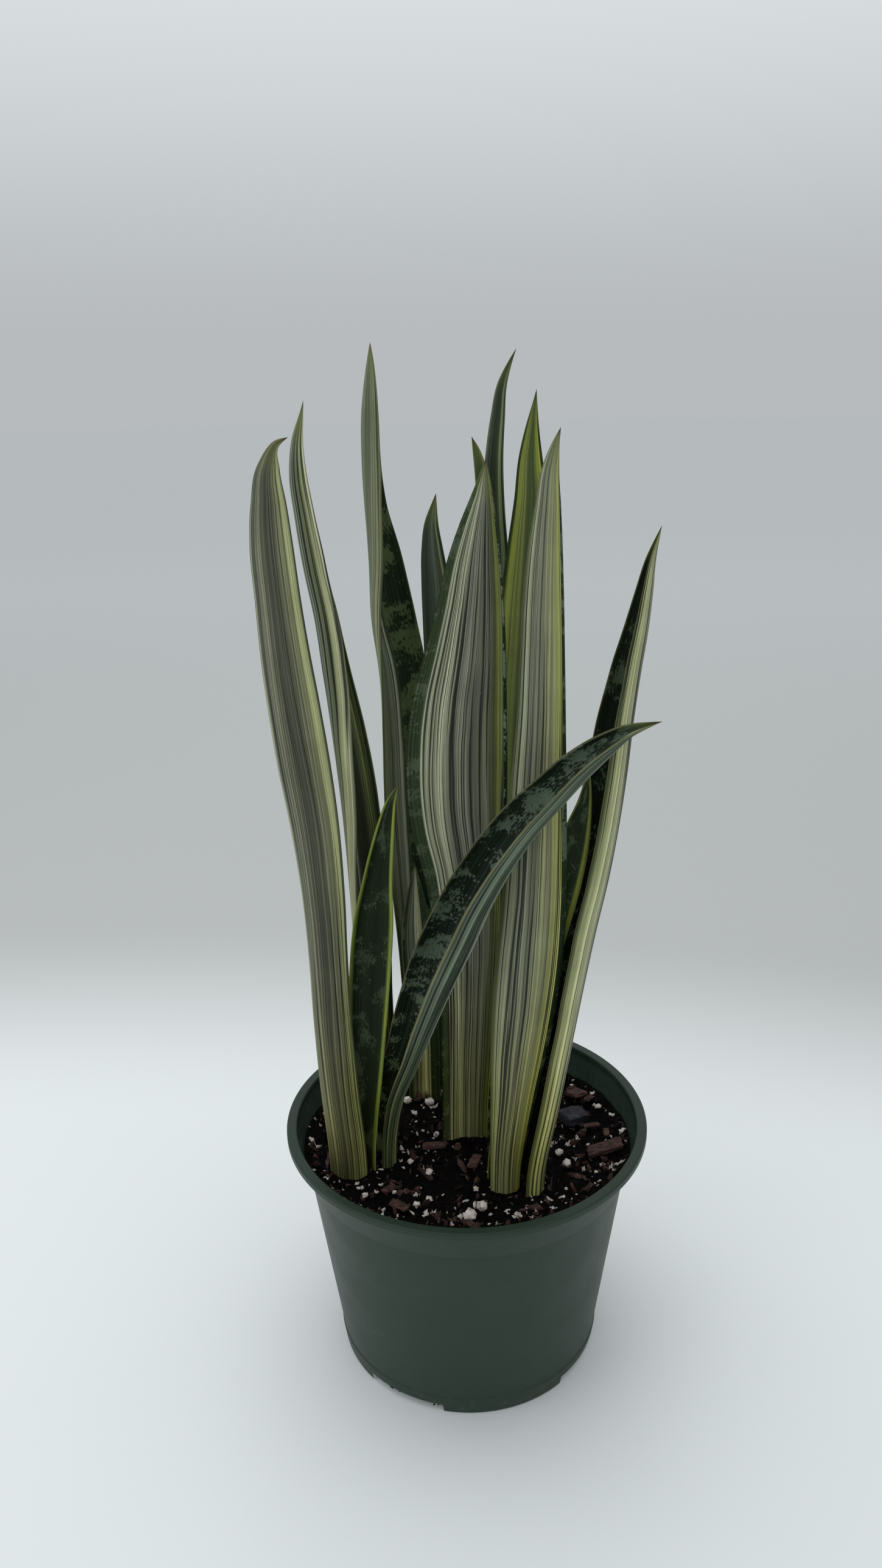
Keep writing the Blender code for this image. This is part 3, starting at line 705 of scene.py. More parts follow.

# %% [markdown]
# ## What each leaf looks like
#
# The plant is variegated: a leaf is a set of bands from edge to edge, and the same band shows on both
# of its faces. So each leaf has a list of band colours across the blade, from 0 at one edge to 1 at
# the other. `lines` says how many streaks run over the bands and how much they differ.
# `patches` says how long the crossbands are on its dark bands, how many, and their colour. One
# band of leaf_arching is also brightened by a painted highlight next to the keel.

# %% Leaf looks
LEAF_LOOKS = {
    "leaf_left_front": {
        "bands": (
            (0.0, (38, 48, 36)), (0.05, (92, 99, 76)), (0.1, (160, 165, 122)), (0.17, (170, 174, 130)),
            (0.22, (120, 124, 94)), (0.33, (108, 110, 88)), (0.43, (88, 90, 76)), (0.55, (78, 80, 70)),
            (0.66, (102, 103, 88)), (0.76, (116, 117, 100)), (0.86, (88, 90, 78)), (0.94, (110, 112, 96)),
            (0.975, (160, 164, 140)),
        ),
        "lines": (38, 1.50), "patches": (9, 0.0, (90, 100, 80)), "rim": (150, 155, 130),
    },
    "leaf_left_folded": {
        "bands": (
            (0.0, (56, 64, 52)), (0.05, (176, 178, 148)), (0.12, (160, 163, 128)), (0.2, (124, 130, 98)),
            (0.3, (100, 107, 90)), (0.42, (112, 118, 104)), (0.5, (142, 147, 136)), (0.56, (52, 58, 44)),
            (0.7, (44, 50, 36)), (0.8, (66, 72, 50)), (0.88, (108, 116, 72)), (0.94, (84, 92, 56)),
            (0.97, (26, 38, 20)),
        ),
        "lines": (26, 1.50), "patches": (8, 0.2, (66, 76, 54)), "rim": (90, 100, 60),
    },
    "leaf_left_short": {
        "bands": (
            (0.0, (96, 112, 44)), (0.05, (70, 84, 34)), (0.1, (22, 32, 17)), (0.4, (32, 42, 26)),
            (0.6, (25, 35, 20)), (0.88, (38, 50, 31)), (0.94, (120, 132, 62)), (0.98, (130, 140, 66)),
        ),
        "lines": (26, 1.20), "patches": (12, 0.45, (74, 88, 68)), "rim": (126, 136, 66),
    },
    "leaf_arching": {
        "bands": (
            (0.0, (24, 36, 24)), (0.2, (22, 34, 24)), (0.44, (26, 38, 28)), (0.5, (34, 46, 34)),
            # The near-white band at 0.675 is a pale line next to the keel, made brighter by a painted
            # highlight.
            (0.6, (40, 54, 40)), (0.65, (70, 84, 66)), (0.675, (200, 205, 190)), (0.71, (120, 130, 114)),
            (0.77, (86, 98, 84)), (0.85, (58, 70, 58)), (0.92, (96, 108, 92)), (0.975, (74, 86, 70)),
            (1.0, (96, 92, 66)),
        ),
        "lines": (36, 2.1), "patches": (13, 0.60, (92, 106, 88)), "rim": (92, 88, 62),
    },
    "leaf_centre_wide": {
        "bands": (
            (0.0, (42, 56, 34)), (0.035, (58, 72, 48)), (0.13, (54, 66, 46)), (0.15, (184, 188, 162)),
            (0.24, (154, 158, 134)), (0.32, (184, 188, 163)), (0.4, (158, 161, 140)),
            (0.45, (112, 115, 102)), (0.53, (138, 141, 126)), (0.61, (114, 117, 104)),
            (0.68, (102, 106, 93)), (0.76, (120, 123, 105)), (0.82, (86, 92, 72)), (0.87, (70, 76, 48)),
            (0.91, (116, 124, 66)), (0.955, (96, 104, 62)), (0.97, (24, 38, 16)),
        ),
        "lines": (46, 1.50), "patches": (11, 0.6, (106, 120, 98)), "rim": (36, 50, 28),
    },
    "leaf_back_tallest": {
        "bands": (
            (0.0, (84, 92, 70)), (0.04, (134, 138, 104)), (0.12, (124, 129, 104)), (0.2, (108, 114, 94)),
            (0.28, (80, 86, 68)), (0.36, (106, 112, 93)), (0.45, (146, 151, 134)), (0.5, (60, 72, 50)),
            (0.55, (30, 42, 26)), (0.8, (24, 36, 20)), (0.97, (30, 42, 24)),
        ),
        "lines": (44, 1.40), "patches": (15, 0.62, (78, 92, 58)), "rim": (70, 82, 50),
    },
    "leaf_back_short": {
        "bands": (
            (0.0, (34, 48, 28)), (0.28, (40, 54, 32)), (0.33, (150, 154, 122)), (0.5, (168, 171, 140)),
            (0.62, (110, 115, 96)), (0.8, (96, 101, 84)), (0.9, (60, 70, 48)), (0.97, (30, 42, 24)),
        ),
        "lines": (24, 1.45), "patches": (9, 0.5, (80, 94, 72)), "rim": (60, 70, 44),
    },
    "leaf_back_small": {
        "bands": (
            (0.0, (66, 80, 62)), (0.1, (46, 60, 46)), (0.3, (66, 78, 66)), (0.55, (84, 95, 83)),
            (0.7, (83, 91, 72)), (0.78, (56, 68, 42)), (0.85, (132, 140, 112)), (0.92, (70, 82, 60)),
            (0.97, (30, 42, 26)),
        ),
        "lines": (24, 1.35), "patches": (10, 0.2, (70, 84, 66)), "rim": (60, 72, 48),
    },
    "leaf_back_slender": {
        "bands": (
            (0.0, (92, 100, 84)), (0.12, (84, 93, 80)), (0.3, (56, 67, 54)), (0.5, (52, 66, 50)),
            (0.66, (56, 68, 46)), (0.76, (88, 98, 68)), (0.84, (152, 160, 126)), (0.92, (96, 106, 80)),
            (0.97, (34, 48, 30)),
        ),
        "lines": (28, 1.35), "patches": (10, 0.15, (74, 88, 68)), "rim": (90, 100, 70),
    },
    "leaf_back_hidden": {
        "bands": ((0.0, (52, 66, 40)), (0.3, (60, 76, 50)), (0.7, (50, 66, 42)), (0.96, (96, 106, 66))),
        "lines": (20, 1.30), "patches": (10, 0.3, (74, 88, 62)), "rim": (96, 106, 66),
    },
    "leaf_back_yellow": {
        "bands": (
            (0.0, (34, 46, 20)), (0.05, (60, 72, 30)), (0.08, (132, 142, 62)), (0.2, (122, 131, 66)),
            (0.36, (106, 115, 68)), (0.47, (74, 88, 50)), (0.6, (64, 78, 46)), (0.7, (96, 106, 56)),
            (0.8, (128, 138, 60)), (0.9, (136, 146, 58)), (0.94, (58, 70, 28)), (1.0, (30, 42, 18)),
        ),
        "lines": (24, 1.20), "patches": (10, 0.1, (90, 102, 60)), "rim": (36, 48, 22),
    },
    "leaf_right_front": {
        "bands": (
            (0.0, (28, 40, 25)), (0.12, (34, 46, 29)), (0.135, (168, 170, 102)), (0.2, (166, 168, 102)),
            (0.27, (136, 139, 92)), (0.34, (116, 120, 94)), (0.42, (144, 147, 112)), (0.5, (118, 122, 100)),
            (0.57, (94, 98, 84)), (0.64, (150, 154, 132)), (0.71, (108, 112, 98)), (0.78, (122, 126, 106)),
            (0.86, (148, 151, 128)), (0.93, (88, 93, 66)), (0.97, (72, 80, 56)),
        ),
        "lines": (44, 1.50), "patches": (10, 0.5, (96, 110, 88)), "rim": (70, 78, 52),
    },
    "leaf_right_folded": {
        "bands": (
            (0.0, (16, 26, 13)), (0.2, (12, 21, 9)), (0.44, (12, 20, 10)), (0.5, (150, 155, 144)),
            (0.55, (90, 98, 84)), (0.62, (144, 149, 132)), (0.7, (118, 124, 102)), (0.78, (148, 152, 124)),
            (0.85, (174, 177, 138)), (0.93, (160, 164, 122)), (0.965, (90, 98, 66)), (1.0, (66, 74, 50)),
        ),
        "lines": (44, 1.45), "patches": (12, 0.42, (78, 92, 68)), "rim": (96, 88, 58),
    },
    "leaf_right_young": {
        "bands": (
            (0.0, (32, 44, 26)), (0.4, (30, 42, 24)), (0.84, (34, 48, 28)), (0.9, (118, 124, 56)),
            (0.96, (124, 130, 60)),
        ),
        "lines": (20, 1.20), "patches": (9, 0.55, (74, 90, 64)), "rim": (110, 116, 56),
    },
}
print("looks for", len(LEAF_LOOKS), "leaves")

# %% [markdown]
# ## Leaf material
#
# The band colours go into a Color Ramp that reads the place across the blade. The place wanders a
# little along the leaf, so that no band is ruled. Over it come the shared streaks and patches, each
# only on the tissue where the plant has them. The foot of a leaf, where it was sheathed, is more
# yellow, its tip is dry, and its rim is a thin hard line.

# %% Colours and fine relief


def paint(red, green, blue):
    """A colour from 8-bit sRGB numbers, as the linear values that Blender's sockets take."""
    return (*(((value / 255.0 + 0.055) / 1.055) ** 2.4 for value in (red, green, blue)), 1.0)


def raise_surface(tree, surface, height, distance):
    """Feed a height into the shader's normal through a Bump node."""
    bump = place(tree, "ShaderNodeBump", {"Height": height, "Distance": distance, "Strength": 1.0})
    tree.links.new(bump.outputs["Normal"], surface.inputs["Normal"])


print("mid grey is", round(paint(128, 128, 128)[0], 3), "in linear light")

# %% Leaf material
LINE_COLOUR = paint(30, 35, 32)
LINE_STRENGTH = 0.92
PALE_GAIN = 1.10
WARMTH = (1.0, 0.975, 0.925)
FOOT_TINT = (1.10, 1.04, 0.62, 1.0)
TIP_YELLOW = paint(112, 118, 66)
DRY_TIP = paint(104, 92, 66)
LEAF_DUST = paint(176, 178, 166)
LEAF_ROUGHNESS = 0.5
LEAF_GLOSS = 0.10
FOOT_END = 0.36


def fill_ramp(ramp, bands):
    """Set a Color Ramp's stops."""
    elements = ramp.color_ramp.elements
    elements[0].position, elements[0].color = bands[0][0], paint(*bands[0][1])
    elements[1].position, elements[1].color = bands[-1][0], paint(*bands[-1][1])
    for position, colour in bands[1:-1]:
        elements.new(position).color = paint(*colour)


def leaf_material(node, look, seed):
    """The variegated finish of one leaf."""
    material, tree, surface, coordinates = new_material(node + "_skin", LEAF_ROUGHNESS, LEAF_GLOSS)

    def read(name):
        return Value(tree, place(tree, "ShaderNodeAttribute", attribute_name=name).outputs["Fac"])

    across, along, share = read("across"), read("along"), read("share")
    place_across = across * 0.5 + 0.5
    sway = noise_of(tree, vector_of(tree, across * 2.0, along * 22.0, seed), 1.0, 2.0) - 0.5
    wandering = place_across + sway * ((1.0 - across * across) * 0.06)
    ramp = place(tree, "ShaderNodeValToRGB", {"Fac": wandering})
    fill_ramp(ramp, look["bands"])
    tissue = ramp.outputs["Color"]
    lightness = Value(tree, place(tree, "ShaderNodeRGBToBW", {0: tissue}).outputs[0])
    pale = between(lightness, 0.03, 0.12)
    dark = 1.0 - between(lightness, 0.03, 0.075)
    count, contrast = look["lines"]
    values = {"Across": wandering, "Along": along, "Count": count, "Contrast": contrast, "Seed": seed}
    veins = use_group(tree, streaks, values)
    level = veins["Lightness"] * (pale * (PALE_GAIN - 1.0) + 1.0)
    tint = vector_of(tree, *(level * part for part in WARMTH))
    streaked = blend_colour(tree, 1.0, tissue, tint, "MULTIPLY")
    strength = min(LINE_STRENGTH, 2.0 * (contrast - 1.0))
    lined = blend_colour(tree, veins["Lines"] * (pale * strength), streaked, LINE_COLOUR)
    length, amount, patch_colour = look["patches"]
    values = {"Across": place_across, "Along": along, "Length": length * MM, "Amount": amount, "Seed": seed}
    crossbands = use_group(tree, patches, values)["Mask"]
    patch = crossbands * (dark * min(1.0, 1.5 * amount))
    mottled = blend_colour(tree, patch, lined, paint(*patch_colour))
    foot = blend_colour(tree, between(share, FOOT_END, 0.0), mottled, FOOT_TINT, "MULTIPLY")
    rim = between(abs(across), 0.972, 0.992) * 0.75
    rimmed = blend_colour(tree, rim, foot, paint(*look["rim"]))
    ragged = veins["Lines"] * 0.01 + share
    yellowed = blend_colour(tree, between(ragged, 0.94, 0.99) * 0.5, rimmed, TIP_YELLOW)
    tipped = blend_colour(tree, between(ragged, 0.988, 0.998), yellowed, DRY_TIP)
    uneven = clouded(tree, tipped, coordinates, 55.0, 0.10)
    dust = flecks(tree, coordinates, 420.0, 0.5)
    grain = noise_of(tree, coordinates, 1500.0, 2.0)
    fill(tree, surface, {
        "Base Color": blend_colour(tree, dust * 0.30, uneven, LEAF_DUST),
        "Roughness": grain * 0.14 + (LEAF_ROUGHNESS - 0.07) + dust * 0.2,
    })
    raise_surface(tree, surface, grain * 0.25 + veins["Lines"] * -0.5, 0.12 * MM)
    return material


print("leaf finish ready")

# %% Make the leaves
for number, node in enumerate(LEAF_NODES):
    skin = leaf_material(node, LEAF_LOOKS[node], 3.7 * number)
    settings = {"Seed": 1.9 * number + 0.5, "Material": skin}
    blade = run_tree(node + "_blade", fine_leaf(node, SOIL_TOP), relief_tree, settings)
    add_piece(node + "_blade", blade, SLOT_OF[node], node)
print("leaves made:", len(LEAF_NODES))

# %% [markdown]
# ## The pot
#
# A nursery pot is turned in shape: one outline swept round its axis. The outline is read from the
# model's own pot, where it crosses the half plane at azimuth 0, and its corners are rounded as
# moulded plastic is. Geometry Nodes then wrap it round the axis: a grid has one column for each
# point of the outline, and each row is turned by its share of the circle.

# %% Pot outline
POT_TURNS = 256
CORNER_RADIUS = 0.7 * MM
CORNER_POINTS = 5
CORNER_SHARE = 0.42
RIM_RADIUS, _, POT_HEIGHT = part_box("pot")[1]


def pot_outline():
    """Half section of the pot, from the middle of its floor over the rim to the middle underneath."""
    shape = merged_copy("pot")
    flat = [point for point in shape.verts if abs(point.co.y) < MERGE and point.co.x > -MERGE]
    inside = [point for point in flat if point.co.x < 2 * MERGE and point.co.z > MERGE]
    order = [inside[0]]
    while True:
        nearby = [edge.other_vert(order[-1]) for edge in order[-1].link_edges]
        nearby = [point for point in nearby if point in flat and point not in order]
        if not nearby:
            break
        order.append(nearby[0])
    outline = [(point.co.x, point.co.z) for point in order]
    shape.free()
    if outline[-1][0] > MERGE:
        outline.append((0.0, 0.0))
    return [Vector(corner) for corner in outline]


def rounded(outline, radius):
    """Round an outline's corners with short arcs, drawn as quadratic curves."""
    result = [outline[0]]
    for before, corner, after in zip(outline[:-2], outline[1:-1], outline[2:]):
        into, away = before - corner, after - corner
        reach = min(radius, CORNER_SHARE * into.length, CORNER_SHARE * away.length)
        start, end = corner + into.normalized() * reach, corner + away.normalized() * reach
        for step in range(CORNER_POINTS + 1):
            part = step / CORNER_POINTS
            result.append(start.lerp(corner, part).lerp(corner.lerp(end, part), part))
    return result + [outline[-1]]


outline = rounded(pot_outline(), CORNER_RADIUS)
print("pot outline:", len(outline), "points, rim radius", round(RIM_RADIUS / MM, 1), "mm")

# %% Turning tree


def build_turning_tree():
    """Geometry Nodes: wrap an outline, given as points, round the Z axis."""
    tree, given, output = open_group("turned_shape", "GeometryNodeTree", (
        ("Geometry", "Geometry", None), ("Turns", "Int", POT_TURNS), ("Material", "Material", None),
    ), (("Geometry", "Geometry"),))
    size = place(tree, "GeometryNodeAttributeDomainSize", {0: given["Geometry"]}).outputs["Point Count"]
    rows = given["Turns"] + 1.0
    sheet = place(tree, "GeometryNodeMeshGrid", {"Vertices X": size, "Vertices Y": rows})
    index = Value(tree, tree.nodes.new("GeometryNodeInputIndex").outputs[0])
    column = maths(tree, "FLOOR", (index + 0.5) / rows)
    row = index - column * rows
    here = tree.nodes.new("GeometryNodeInputPosition").outputs[0]
    values = {0: given["Geometry"], "Value": here, "Index": column}
    sample = place(tree, "GeometryNodeSampleIndex", values, data_type="FLOAT_VECTOR")
    angle = row / given["Turns"] * math.tau
    values = {"Vector": sample.outputs[0], "Angle": angle, "Axis": (0.0, 0.0, 1.0)}
    turned = place(tree, "ShaderNodeVectorRotate", values, rotation_type="AXIS_ANGLE").outputs[0]
    moved = place(tree, "GeometryNodeSetPosition", {"Geometry": sheet.outputs[0], "Position": turned})
    closed = place(tree, "GeometryNodeMergeByDistance", {"Geometry": moved.outputs[0], "Distance": MERGE})
    finish_tree(tree, closed.outputs[0], given["Material"], output)
    return tree


turning_tree = build_turning_tree()
print("turning tree:", len(turning_tree.nodes), "nodes")

# %% [markdown]
# ## Pot plastic
#
# The pot is dull dark-green plastic with a satin sheen. Handling leaves it cloudy, with a few thin
# scuffs, and the soil leaves dust on it: most on the foot, and on the wall inside, above the soil.

# %% Pot material
POT_GREEN = paint(43, 58, 48)
POT_SCUFF = paint(74, 90, 78)
POT_LIP_SHADE = paint(26, 40, 31)
POT_DUST = paint(86, 84, 74)
POT_SOILED = paint(34, 34, 28)
POT_ROUGHNESS = 0.42
POT_GLOSS = 0.22
LIP_SHADE_BAND = 1.2 * MM
DUST_TOP = 14.0 * MM
SOILED_FROM = (91.0 * MM, 93.0 * MM)


def pot_material():
    """Satin green plastic with clouding, scuffs, dust, and a painted shade along the lip."""
    material, tree, surface, coordinates = new_material("pot_plastic", POT_ROUGHNESS, POT_GLOSS)
    axes = place(tree, "ShaderNodeSeparateXYZ", {0: coordinates}).outputs
    x, y, z = (Value(tree, axis) for axis in axes)
    base = clouded(tree, POT_GREEN, coordinates, 24.0, 0.05)
    stretched = vector_of(tree, x * 260.0, y * 260.0, z * 1400.0)
    scuffs = between(noise_of(tree, stretched, 1.0, 1.0), 0.735, 0.76)
    scuffs = scuffs * between(noise_of(tree, coordinates, 34.0, 1.0), 0.5, 0.68)
    scuffed = blend_colour(tree, scuffs * 0.5, base, POT_SCUFF)
    # Painted shade: a thin band at the top of the lip is darkened towards a deeper green.
    edge = between(abs(z - POT_HEIGHT), LIP_SHADE_BAND, 0.0)
    lip_painted_shade = blend_colour(tree, edge * 0.6, scuffed, POT_LIP_SHADE)
    facing = tree.nodes.new("ShaderNodeTexCoord").outputs["Normal"]
    values = {0: coordinates, 1: facing}
    towards = place(tree, "ShaderNodeVectorMath", values, operation="DOT_PRODUCT").outputs["Value"]
    radius = maths(tree, "SQRT", x * x + y * y)
    rising = Value(tree, place(tree, "ShaderNodeSeparateXYZ", {0: facing}).outputs[2])
    inner = between(Value(tree, towards) / radius, -0.05, -0.4) * between(rising, -0.1, 0.05)
    grime = noise_of(tree, coordinates, 260.0, 4.0, 0.7)
    dust = between(z, DUST_TOP, 0.0) * between(grime, 0.45, 0.75)
    dusted = blend_colour(tree, dust * 0.35, lip_painted_shade, POT_DUST)
    soiled = inner * (between(z, *SOILED_FROM) * between(grime, 0.50, 0.62))
    stained = blend_colour(tree, soiled * 0.4, dusted, POT_SOILED)
    dots = flecks(tree, coordinates, 260.0, 0.36)
    haze = noise_of(tree, coordinates, 60.0, 4.0, 0.6)
    fill(tree, surface, {
        "Base Color": blend_colour(tree, dots * 0.30, stained, POT_DUST),
        "Roughness": haze * 0.22 + 0.34 + dots * 0.2,
    })
    grain = noise_of(tree, coordinates, 1800.0, 2.0)
    raise_surface(tree, surface, grain + scuffs * -0.6, 0.05 * MM)
    return material


# %% [markdown]
# ## Drain notches
#
# Four notches are cut through the foot. The model's pot says where: between its floor and its foot
# band, the only corners are those of the notches. A box for each is taken away with Boolean
# modifiers, whose result is then made one plain mesh.

# %% Make the pot
NOTCH_LOW = 2.0 * MM
NOTCH_HIGH = 7.0 * MM
NOTCH_DEPTH = 7.0 * MM
NOTCH_FIRST = -30
NOTCH_STEP = 90
NOTCH_OVERSHOOT = 2.0 * MM
SHARP_ANGLE = 50


def notch_boxes():
    """Azimuth, half width, height and foot radius of each drain notch, read from the model."""
    shape = merged_copy("pot")
    found = {}
    for point in shape.verts:
        if NOTCH_LOW < point.co.z < NOTCH_HIGH:
            azimuth = math.degrees(math.atan2(point.co.y, point.co.x))
            azimuth = round((azimuth - NOTCH_FIRST) / NOTCH_STEP) * NOTCH_STEP + NOTCH_FIRST
            found.setdefault(azimuth, []).append(point.co.copy())
    shape.free()
    boxes = []
    for azimuth, points in sorted(found.items()):
        turn = Matrix.Rotation(math.radians(-azimuth), 3, "Z")
        local = [turn @ point for point in points]
        half = max(abs(point.y) for point in local)
        boxes.append((azimuth, half, points[0].z, max(point.length for point in local)))
    return boxes


def cut_notches(mesh, boxes):
    """Cut the notches out of the pot's mesh."""
    pot = add_object("pot_blank", mesh)
    tools = []
    for azimuth, half, height, radius in boxes:
        shape = bmesh.new()
        bmesh.ops.create_cube(shape, size=1.0)
        depth = NOTCH_DEPTH + 2 * NOTCH_OVERSHOOT
        bmesh.ops.scale(shape, vec=(depth, 2 * half, 2 * height), verts=shape.verts)
        centre = radius + NOTCH_OVERSHOOT - NOTCH_DEPTH / 2
        bmesh.ops.translate(shape, vec=(centre, 0.0, 0.0), verts=shape.verts)
        turn = Matrix.Rotation(math.radians(azimuth), 4, "Z")
        bmesh.ops.transform(shape, matrix=turn, verts=shape.verts)
        tool = add_object("notch_tool", mesh_of("notch_tool", shape))
        modifier = pot.modifiers.new("notch", "BOOLEAN")
        modifier.object = tool
        modifier.solver = "EXACT"
        tools.append(tool)
    bpy.context.view_layer.update()
    result = bpy.data.meshes.new_from_object(pot.evaluated_get(bpy.context.evaluated_depsgraph_get()))
    for item in tools + [pot]:
        bpy.data.objects.remove(item)
    return result


outline_mesh = bpy.data.meshes.new("pot_outline")
outline_mesh.from_pydata([(corner.x, 0.0, corner.y) for corner in outline], [], [])
settings = {"Turns": POT_TURNS, "Material": pot_material()}
turned_pot = face_outwards(run_tree("pot_shell", outline_mesh, turning_tree, settings))
drain_notches = notch_boxes()
pot_mesh = cut_notches(turned_pot, drain_notches)
pot_mesh.set_sharp_from_angle(angle=math.radians(SHARP_ANGLE))
add_piece("pot_shell", pot_mesh, "pot_plastic", "pot")
print("pot:", len(pot_mesh.polygons), "faces, notches at", [item[0] for item in drain_notches])

# %% [markdown]
# ## Soil
#
# Potting soil is peat and fine bark: nearly black, damp, and rough at every size. The plug is a fine
# polar grid. A ray sent down on the model's soil gives the height at each point, and three sizes of
# noise are added. The soil is banked up against the collar, most at the front.

# %% Section of the soil
SIDE_SHARE = 0.93
RIM_SHARE = 0.98
SOIL_LOW, SOIL_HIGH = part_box("soil")


def soil_section():
    """The model soil's side, as radius and height at azimuth 0 from its rim down to its foot."""
    shape = merged_copy("soil")
    flat = [point.co for point in shape.verts if abs(point.co.y) < MERGE and point.co.x > 0.0]
    rim = max(flat, key=lambda spot: spot.x)
    side = [spot for spot in flat if spot.z <= rim.z and spot.x > SIDE_SHARE * rim.x]
    side += [spot for spot in flat if spot.z < SOIL_LOW.z + MERGE]
    side = [(spot.x, spot.z) for spot in sorted(side, key=lambda spot: -spot.z)]
    ring = [point.co.copy() for point in shape.verts if point.co.xy.length > RIM_SHARE * rim.x]
    tree = BVHTree.FromBMesh(shape)
    shape.free()
    return side, ring, tree


SOIL_SIDE, SOIL_RIM, SOIL_TREE = soil_section()
RIM_HEIGHTS = [spot.z for spot in SOIL_RIM]
RIM_RADII = [spot.xy.length for spot in SOIL_RIM]
RIM_MIDDLE = (max(RIM_HEIGHTS) + min(RIM_HEIGHTS)) / 2
RIM_TILT = max(RIM_HEIGHTS) - RIM_MIDDLE
WIDE, NARROW = max(RIM_RADII), min(RIM_RADII)
EDGE_HEIGHT = min(height for radius, height in SOIL_SIDE if height > SOIL_LOW.z + MM)
print("soil's edge", round(EDGE_HEIGHT / MM, 1), "mm high, its rim", round(RIM_MIDDLE / MM, 1), "mm")

# %% Height of the soil
SOIL_CROWN = 1.6 * MM
SOIL_CROWN_POWER = 4
SOIL_BANK_POWER = 6
RING_INSET = 0.35 * MM
SOCKET_DROP = 1.0 * MM


def rim_radius(angle):
    """Radius of the soil's rim, which widens with its height."""
    return (WIDE + NARROW) / 2 - (WIDE - NARROW) / 2 * math.sin(angle) - RING_INSET


def soil_level(x, y):
    """Height of the model's soil, with its sockets for the leaves closed."""
    hit = SOIL_TREE.ray_cast(Vector((x, y, SOIL_HIGH.z + MM)), Vector((0.0, 0.0, -1.0)))[0]
    if hit is not None and hit.z > EDGE_HEIGHT - SOCKET_DROP:
        return hit.z
    angle = math.atan2(y, x)
    share = min(1.0, math.hypot(x, y) / rim_radius(angle))
    bank = (RIM_MIDDLE - RIM_TILT * math.sin(angle) - EDGE_HEIGHT) * share ** SOIL_BANK_POWER
    return EDGE_HEIGHT + SOIL_CROWN * (1.0 - share ** SOIL_CROWN_POWER) + bank


def soil_surface(x, y):
    """Height of the rough soil. The sizes and depths of its lumps are in millimetres."""
    spot = Vector((x, y, 0.0)) / MM
    lumps = noise.noise(spot / 13.0) * 0.9 + noise.noise(spot / 4.5 + Vector((9, 3, 1))) * 0.8
    crumbs = noise.noise(spot / 1.7 + Vector((4, 8, 2))) * 0.5 + abs(noise.noise(spot / 0.9)) * 0.35
    return soil_level(x, y) + (lumps + crumbs - 0.5) * MM


print("soil in the middle", round(soil_surface(0.0, 0.0) / MM, 1), "mm high")

# %% Soil plug
SOIL_RINGS = 120
SOIL_TURNS = 300
SOIL_SIDE_ROWS = 20
SIDE_DENT = 0.6 * MM
SIDE_LUMP = 2.2 * MM


def polar(radius, angle):
    """The x and y of a radius at an angle."""
    return radius * math.cos(angle), radius * math.sin(angle)


def soil_mesh():
    """The closed plug, with its rough top."""
    angles = [math.tau * index / SOIL_TURNS for index in range(SOIL_TURNS)]
    points = [(0.0, 0.0, soil_surface(0.0, 0.0))]
    for ring in range(1, SOIL_RINGS + 1):
        for angle in angles:
            x, y = polar(rim_radius(angle) * ring / SOIL_RINGS, angle)
            points.append((x, y, soil_surface(x, y)))
    side = [Vector(corner) for corner in SOIL_SIDE]
    rows = range(1, SOIL_SIDE_ROWS + 1)
    courses = side[1:-1] + [side[-2].lerp(side[-1], row / SOIL_SIDE_ROWS) for row in rows]
    for radius, height in courses:
        for angle in angles:
            x, y = polar(radius, angle)
            dent = SIDE_DENT * abs(noise.noise(Vector((x, y, height)) / SIDE_LUMP))
            points.append((x * (1 - dent / radius), y * (1 - dent / radius), height))
    points.append((0.0, 0.0, SOIL_LOW.z))
    count = SOIL_TURNS
    faces = [(0, 1 + index, 1 + (index + 1) % count) for index in range(count)]
    for row in range(SOIL_RINGS + len(courses) - 1):
        first = 1 + row * count
        for index in range(count):
            here, beside = first + index, first + (index + 1) % count
            faces.append((here, here + count, beside + count, beside))
    first = len(points) - 1 - count
    faces += [(first + index, len(points) - 1, first + (index + 1) % count) for index in range(count)]
    mesh = bpy.data.meshes.new("soil_plug")
    mesh.from_pydata(points, [], faces)
    return face_outwards(mesh)


plug_mesh = soil_mesh()
print("soil:", len(plug_mesh.polygons), "faces")

# %% Soil material
SOIL_GLOSS = 0.05
GRIT_COLOUR = paint(104, 82, 70)


def soil_material(name, dark, light, roughness):
    """Damp, crumbly organic matter of two colours."""
    material, tree, surface, coordinates = new_material(name, roughness, SOIL_GLOSS)
    crumbs = noise_of(tree, coordinates, 420.0, 5.0, 0.75)
    colour = blend_colour(tree, between(crumbs, 0.40, 0.72), paint(*dark), paint(*light))
    grit = flecks(tree, coordinates, 900.0, 0.7)
    damp = noise_of(tree, coordinates, 300.0, 3.0)
    fill(tree, surface, {
        "Base Color": blend_colour(tree, grit * 0.35, colour, GRIT_COLOUR),
        "Roughness": between(damp, 0.45, 0.7, roughness, roughness - 0.35),
    })
    raise_surface(tree, surface, crumbs, 0.6 * MM)
    return material


plug_mesh.materials.append(soil_material("soil_peat", (2, 2, 2), (15, 11, 10), 0.95))
add_piece("soil_plug", plug_mesh, "soil", "soil")
print("soil finish:", plug_mesh.materials[0].name)

# %% [markdown]
# ## Bark and perlite
#
# The larger chips and grains are pieces of the model. Each is taken as it lies and made natural:
# Geometry Nodes cut its faces finer and push its points in and out by a lumpy noise. Bark is pushed
# by a noise stretched along the chip, as it splits along its grain. Perlite is pushed by round
# cells, as it is puffed-up glass.

# %% Weathering tree


